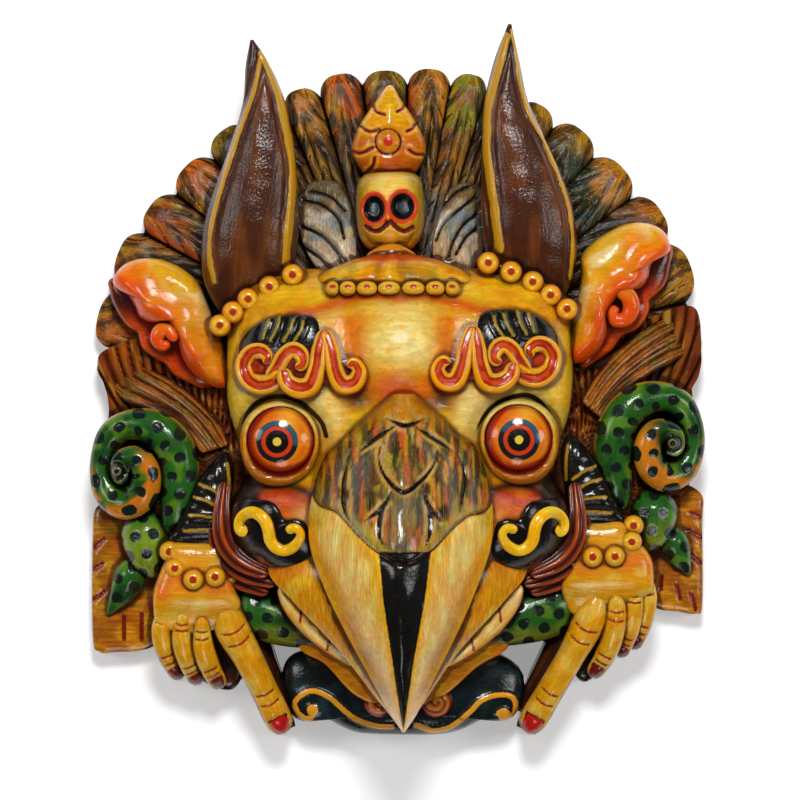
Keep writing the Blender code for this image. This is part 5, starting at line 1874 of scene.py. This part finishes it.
def make_core():
    """The frame's own solid, drawn in under the carving. Its back and its hollow stay as they are."""
    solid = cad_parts["mask"]
    world = np.array(solid.matrix_world)
    raw = np.empty(len(solid.data.vertices) * 3)
    solid.data.vertices.foreach_get("co", raw)
    raw = (raw.reshape(-1, 3) @ world[:3, :3].T + world[:3, 3]) / UNIT
    _, first, place = np.unique(np.round(raw, 3), axis=0, return_index=True, return_inverse=True)
    points = raw[first]
    solid.data.calc_loop_triangles()
    corners = np.empty(len(solid.data.loop_triangles) * 3, np.int32)
    solid.data.loop_triangles.foreach_get("vertices", corners)
    corners = place.reshape(-1)[corners].reshape(-1, 3)
    corners = corners[(corners != np.roll(corners, 1, axis=1)).all(1)]
    a, b, c = (points[corners[:, i]] for i in range(3))
    outward = np.zeros_like(points)
    for i in range(3):
        np.add.at(outward, corners[:, i], np.cross(b - a, c - a))
    outward /= np.linalg.norm(outward, axis=1, keepdims=True) + 1e-9
    outer = points[:, 2] > seat(points[:, 0], points[:, 1]) + 1
    inset = CORE_INSET * (1 + ramp(SLIM_FROM - points[:, 1:2], 0, 20))
    sunk = points - outward * (1, 1, 0) * inset
    in_horn = ramp(points[:, 1], HORN_CORE_FROM - 24, HORN_CORE_FROM) * ramp(points[:, 2], 26, 32)
    drop = CORE_DROP * (1 - in_horn) + outward[:, 2] * inset[:, 0] * in_horn
    sunk[:, 2] = np.maximum(points[:, 2] - drop, np.minimum(points[:, 2], CORE_LOWEST))
    core = Form("core", np.where(outer[:, None], sunk, points), [corners], points)
    core.base("7A4E26").finish(raw=True, streak=0.5, dirt=0.6, long=40, fine=1.2)


# Crevices.

CELL = 1.25
NARROW, BROAD = 1.1, 3.6


def blurred(field, size):
    """The field averaged over a soft round patch that is size cells wide."""
    reach = int(3 * size)
    weights = bell(np.arange(-reach, reach + 1) / (size * math.sqrt(2)), 1)
    weights /= weights.sum()
    for axis in (0, 1):
        field = np.apply_along_axis(np.convolve, axis, field, weights, "same")
    return field


def sink_of(forms):
    """For each form, how far each point lies below its surroundings, in shares of a deep cut."""
    points = np.vstack([form.points for form in forms])
    low = points[:, :2].min(0) - 10
    size = ((points[:, :2].max(0) + 10 - low) / CELL).astype(int) + 2
    height = np.zeros(size)
    cells = ((points[:, :2] - low) / CELL).astype(int)
    np.maximum.at(height, (cells[:, 0], cells[:, 1]), points[:, 2])
    for _ in range(2):
        padded = np.pad(height, 1)
        around = [padded[i:i + size[0], j:j + size[1]] for i in range(3) for j in range(3)]
        height = np.where(height > 0, height, np.max(around, axis=0))
    solid = (height > 0).astype(float)
    fields = [blurred(height, width) / (blurred(solid, width) + 1e-6) for width in (NARROW, BROAD)]
    sinks = []
    for form in forms:
        place = (form.points[:, :2] - low) / CELL - 0.5
        cell = np.floor(place).astype(int)
        u, v = (place - cell).T
        i, j = cell.T
        levels = [
            field[i, j] * (1 - u) * (1 - v) + field[i + 1, j] * u * (1 - v)
            + field[i, j + 1] * (1 - u) * v + field[i + 1, j + 1] * u * v
            for field in fields
        ]
        sinks.append(np.clip(0.55 * (levels[0] - form.z) + 0.03 * (levels[1] - form.z), -1.5, 2))
    return sinks


# Paint and varnish.

MADE_PAINTS = {}
# Tones that the paint is multiplied by: warm and dull patches, painted shade in the cuts, and wear on high
# edges lightened as a painted highlight.
WARM = (1.08, 0.89, 0.56)
DULL = (0.93, 0.79, 0.44)
CREASE_SHADE = (0.14, 0.07, 0.045)
WORN_AND_LIT = (1.35, 1.3, 1.15)
SPECK = "2A1406"
# What a form's look says unless it is changed: streaks, painted shade in the cuts, length and fineness of
# the brush marks, gloss, grain of the varnish and strength of its coat.
LOOK = {"streak": 0.2, "dirt": 0.9, "long": 14, "fine": 1.6, "gloss": 0.28, "grain": 1.0, "coat": 0.7}
BUMP_DEPTH = 1.1


class Nodes:
    """A material's nodes, added one at a time."""

    def __init__(self, name):
        self.material = bpy.data.materials.new(name)
        self.material.use_nodes = True
        self.tree = self.material.node_tree
        self.tree.nodes.clear()

    def add(self, kind, inputs=(), out=0, **settings):
        made = self.tree.nodes.new(f"ShaderNode{kind}")
        for key, value in settings.items():
            setattr(made, key, value)
        for key, value in dict(inputs).items():
            if isinstance(value, bpy.types.NodeSocket):
                self.tree.links.new(value, made.inputs[key])
            else:
                made.inputs[key].default_value = value
        return made.outputs[out]

    def value(self, name):
        return self.add("Attribute", out=2, attribute_name=name)

    def math(self, how, *values, clamp=False):
        return self.add("Math", enumerate(values), operation=how, use_clamp=clamp)

    def noise(self, vector, scale, detail=3.0, rough=0.55):
        inputs = {"Vector": vector, "Scale": scale, "Detail": detail, "Roughness": rough}
        return self.add("TexNoise", inputs)

    def ramp(self, value, low, high):
        return self.add("MapRange", {0: value, 1: low, 2: high}, interpolation_type="SMOOTHSTEP")

    def mix(self, share, under, over, blend="MIX"):
        return self.add("Mix", {0: share, 6: under, 7: over}, out=2, data_type="RGBA", blend_type=blend)

    def tone(self, share, under, tone):
        """The colour under multiplied by a tone where the share is high."""
        return self.mix(share, under, (*tone, 1), "MULTIPLY")

    def swing(self, field, reach):
        """A noise turned into half its reach to each side of zero."""
        return self.math("MULTIPLY", self.math("SUBTRACT", field, 0.5), reach)

    def stretched(self, vector, scale):
        return self.add("VectorMath", {0: vector, 1: scale}, operation="MULTIPLY")


def paint(lines, scratches=None, raw=False, **changes):
    """The material for a form's lines and look, made once for each way of painting."""
    look = dict(LOOK, **changes)
    key = (tuple((code, soft, wobble) for code, _, soft, wobble in lines), *look.values(), scratches, raw)
    if key not in MADE_PAINTS:
        nodes = Nodes(f"{'raw' if raw else 'painted'}_wood_{len(MADE_PAINTS)}")
        paint_nodes(nodes, lines, look, scratches, raw)
        MADE_PAINTS[key] = nodes.material
    return MADE_PAINTS[key]


def paint_nodes(nodes, lines, look, scratches, raw):
    """Brushed paint over carved wood: strokes, painted shade in the cuts, wear on high edges lightened as a
    painted highlight, and a bumpy varnish.
    """
    flow = nodes.add("Attribute", out=1, attribute_name="flow")
    place = nodes.stretched(nodes.add("TexCoord", out=3), (1 / UNIT,) * 3)
    tint = nodes.add("Attribute", attribute_name="tint")
    # How far each point lies below its surroundings: this sets the painted shade in the cuts and the
    # painted highlight on high edges.
    sink = nodes.value("sink")
    tint = nodes.tone(nodes.ramp(nodes.noise(place, 0.07, 4), 0.42, 0.62), tint, WARM)
    mottle = nodes.noise(place, 0.28, 5, 0.65)
    tint = nodes.tone(nodes.ramp(mottle, 0.5, 0.7), tint, DULL)
    tint = brushed(nodes, tint, flow, look["streak"], look["long"], look["fine"])
    if scratches:
        code, much = scratches
        hair = nodes.noise(nodes.stretched(flow, (0.05, 1.9, 0.4)), 1.0, 2, 0.5)
        tint = nodes.mix(nodes.math("MULTIPLY", nodes.ramp(hair, 0.6, 0.66), much), tint, (*ink(code), 1))
    rag = nodes.noise(place, 0.9, 3)
    for i, (code, _, soft, wobble) in enumerate(lines):
        ragged = nodes.math("ADD", nodes.value(f"stroke_{i}"), nodes.swing(rag, wobble * 2))
        tint = nodes.mix(nodes.ramp(ragged, soft, -soft), tint, (*ink(code), 1))
    tint = shaded_and_worn(nodes, tint, place, sink, look["dirt"])
    varnish(nodes, tint, flow, place, mottle, look, raw)


def brushed(nodes, tint, flow, streak, long, fine):
    """Darker and lighter streaks along the strokes of the brush."""
    streaks = nodes.noise(nodes.stretched(flow, (1 / long, 1 / fine, 1 / fine)), 1.0, 4, 0.6)
    dark = (1 - streak, 1 - streak * 1.1, 1 - streak * 1.2)
    tint = nodes.tone(nodes.ramp(streaks, 0.38, 0.68), tint, dark)
    return nodes.tone(nodes.ramp(streaks, 0.5, 0.28), tint, (1 + streak, 1 + streak, 1 + streak * 0.8))


def shaded_and_worn(nodes, tint, place, sink, dirt):
    """Painted shade in the cuts, wear on high edges lightened as a painted highlight, and dark specks."""
    shade_breakup = nodes.noise(place, 0.45, 4, 0.7)
    loose = nodes.math("ADD", sink, nodes.swing(shade_breakup, 0.7))
    # Painted shade: darker where a point lies below its surroundings, in cuts and between forms.
    tint = nodes.tone(nodes.math("MULTIPLY", nodes.ramp(loose, 0.12, 0.95), dirt, clamp=True), tint, CREASE_SHADE)
    # Painted highlight with wear: lighter where a point stands above its surroundings.
    tint = nodes.tone(nodes.math("MULTIPLY", nodes.ramp(loose, -0.35, -0.95), 0.25), tint, WORN_AND_LIT)
    specks = nodes.math("MULTIPLY", nodes.ramp(nodes.noise(place, 1.7, 2), 0.68, 0.74), 0.5)
    return nodes.mix(specks, tint, (*ink(SPECK), 1))


def varnish(nodes, tint, flow, place, mottle, look, raw):
    """A pebbled surface under a glossy coat, or matt bare wood."""
    pebbles = nodes.noise(place, 0.75, 4, 0.6)
    ridges = nodes.noise(nodes.stretched(flow, (0.12, 0.8, 0.8)), 1.0, 2)
    height = nodes.math("ADD", pebbles, nodes.math("MULTIPLY", ridges, 0.6))
    depth = BUMP_DEPTH * UNIT
    bump, coat_bump = (nodes.add("Bump", {"Strength": strength, "Distance": depth, "Height": height})
                       for strength in (0.3, 0.11 * look["grain"]))
    gloss = look["gloss"]
    rough = nodes.add("MapRange", {0: mottle, 1: 0.35, 2: 0.7, 3: gloss, 4: gloss + 0.2})
    surface = {"Base Color": tint, "Roughness": rough, "Normal": bump, "Specular IOR Level": 0.08,
               "Coat Weight": look["coat"], "Coat Roughness": 0.06, "Coat Normal": coat_bump}
    if raw:
        surface.update({"Roughness": 0.75, "Coat Weight": 0.0})
    shader = nodes.add("BsdfPrincipled", surface)
    nodes.tree.links.new(shader, nodes.tree.nodes.new("ShaderNodeOutputMaterial").inputs["Surface"])


# Building.

SHARP_ANGLE = math.radians(52)
# How far the brush marks of one form lie from those of the next.
FLOW_GAP = 37.0
# Distance from a stroke at points that have none.
NO_STROKE = 9.0


def add_object(name, data):
    """A new object of the scene."""
    made = bpy.data.objects.new(name, data)
    bpy.context.scene.collection.objects.link(made)
    return made


def add_attribute(mesh, name, kind, key, values):
    """Write a value for each point of the mesh."""
    layer = mesh.attributes.new(name, kind, "POINT")
    layer.data.foreach_set(key, np.asarray(values, np.float32).ravel())


def add_faces(mesh, forms):
    """The points and faces of the forms, each face with the material of its form."""
    corners, totals, slots = [], [], []
    start = 0
    for form in forms:
        material = paint(form.lines, **form.look)
        if material.name not in mesh.materials:
            mesh.materials.append(material)
        slot = mesh.materials.find(material.name)
        for faces in form.faces:
            corners.append((faces + start).reshape(-1))
            totals.append(np.full(len(faces), faces.shape[1]))
            slots.append(np.full(len(faces), slot))
        start += len(form.points)
    corners, totals, slots = (np.concatenate(rows).astype(np.int32) for rows in (corners, totals, slots))
    mesh.vertices.add(start)
    mesh.loops.add(len(corners))
    mesh.polygons.add(len(totals))
    points = np.vstack([form.points for form in forms]) * UNIT
    mesh.vertices.foreach_set("co", points.astype(np.float32).ravel())
    mesh.loops.foreach_set("vertex_index", corners)
    mesh.polygons.foreach_set("loop_start", np.concatenate([[0], np.cumsum(totals)[:-1]]).astype(np.int32))
    mesh.polygons.foreach_set("material_index", slots)
    mesh.update(calc_edges=True)
    mesh.validate()


def build(piece_name, forms, sinks):
    """One piece from its forms, with a material for each way of painting."""
    mesh = bpy.data.meshes.new(piece_name)
    add_faces(mesh, forms)
    tints = np.vstack([form.tint for form in forms])
    add_attribute(mesh, "tint", "FLOAT_COLOR", "color", np.hstack([tints, np.ones((len(tints), 1))]))
    flows = np.vstack([form.flow + FLOW_GAP * i for i, form in enumerate(forms)])
    add_attribute(mesh, "flow", "FLOAT_VECTOR", "vector", flows)
    add_attribute(mesh, "sink", "FLOAT", "value", np.concatenate(sinks))
    for k in range(max(len(form.lines) for form in forms)):
        away = [
            form.lines[k][1] if k < len(form.lines) else np.full(len(form.points), NO_STROKE)
            for form in forms
        ]
        add_attribute(mesh, f"stroke_{k}", "FLOAT", "value", np.concatenate(away))
    work = bmesh.new()
    work.from_mesh(mesh)
    bmesh.ops.recalc_face_normals(work, faces=work.faces)
    work.to_mesh(mesh)
    work.free()
    mesh.shade_smooth()
    mesh.set_sharp_from_angle(angle=SHARP_ANGLE)
    piece = add_object(piece_name, mesh)
    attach(piece, "root")
    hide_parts("mask")


# Floor, light and camera.

FLOOR_SIZE = 6.0
FLOOR_LEVEL = -0.001
LENS = 270
SENSOR = 36
# Name, place, size and power of each soft light, aimed at the middle of the mask.
LIGHTS = (
    ("key_light", (0.05, 0.8, 1.5), 0.4, 19),
    ("left_fill", (-1.3, 0.3, 1.3), 0.6, 6),
    ("right_fill", (1.3, 0.1, 1.3), 0.6, 6),
    ("low_fill", (0, -1.3, 1.3), 0.6, 4.5),
)
WORLD_LIGHT = 0.06
FLOOR_GLOW = 0.3


def set_floor():
    half = FLOOR_SIZE / 2
    corners = [(x * half, y * half, FLOOR_LEVEL) for x, y in ((-1, -1), (1, -1), (1, 1), (-1, 1))]
    mesh = bpy.data.meshes.new("floor")
    mesh.from_pydata(corners, [], [(0, 1, 2, 3)])
    pale = bpy.data.materials.new("pale_floor")
    pale.use_nodes = True
    inputs = pale.node_tree.nodes["Principled BSDF"].inputs
    inputs["Base Color"].default_value = (0.97, 0.97, 0.97, 1)
    inputs["Roughness"].default_value = 0.9
    inputs["Emission Color"].default_value = (1, 1, 1, 1)
    inputs["Emission Strength"].default_value = FLOOR_GLOW
    mesh.materials.append(pale)
    floor = add_object("floor", mesh)


def set_lights():
    for name, place, size, power in LIGHTS:
        data = bpy.data.lights.new(name, "AREA")
        data.shape = "DISK"
        data.size = size
        data.energy = power
        light = add_object(name, data)
        light.location = place
        light.rotation_euler = (-Vector(place)).to_track_quat("-Z", "Y").to_euler()
    world = bpy.data.worlds.new("studio")
    world.use_nodes = True
    inputs = world.node_tree.nodes["Background"].inputs
    inputs["Color"].default_value = (1, 1, 1, 1)
    inputs["Strength"].default_value = WORLD_LIGHT
    bpy.context.scene.world = world
    bpy.context.scene.view_settings.view_transform = "Standard"


def set_camera():
    data = bpy.data.cameras.new("camera")
    data.lens = LENS
    data.sensor_width = SENSOR
    data.clip_end = 20
    camera = add_object("camera", data)
    camera.location = (CAMERA_SPOT[0] * UNIT, CAMERA_SPOT[1] * UNIT, (PHOTO_LEVEL + CAMERA_RISE) * UNIT)
    bpy.context.scene.camera = camera


SUB_PARTS = (
    ("back", make_core), ("fan", make_fan), ("sides", make_sides), ("crest", make_crest),
    ("ears", make_ears), ("horns", make_horns), ("snakes", make_snakes), ("hands", make_hands),
    ("scroll_and_chin", make_bottom), ("face", make_face), ("eyes", make_eyes), ("brows", make_brows),
    ("beard", make_beard), ("moustache", make_moustache), ("beak", make_beak),
)


def main():
    parts = {}
    for name, make in SUB_PARTS:
        first = len(MADE)
        make()
        parts[name] = range(first, len(MADE))
    sinks = sink_of(MADE)
    for name, span in parts.items():
        build(name, [MADE[i] for i in span], [sinks[i] for i in span])
    set_floor()
    set_lights()
    set_camera()


main()
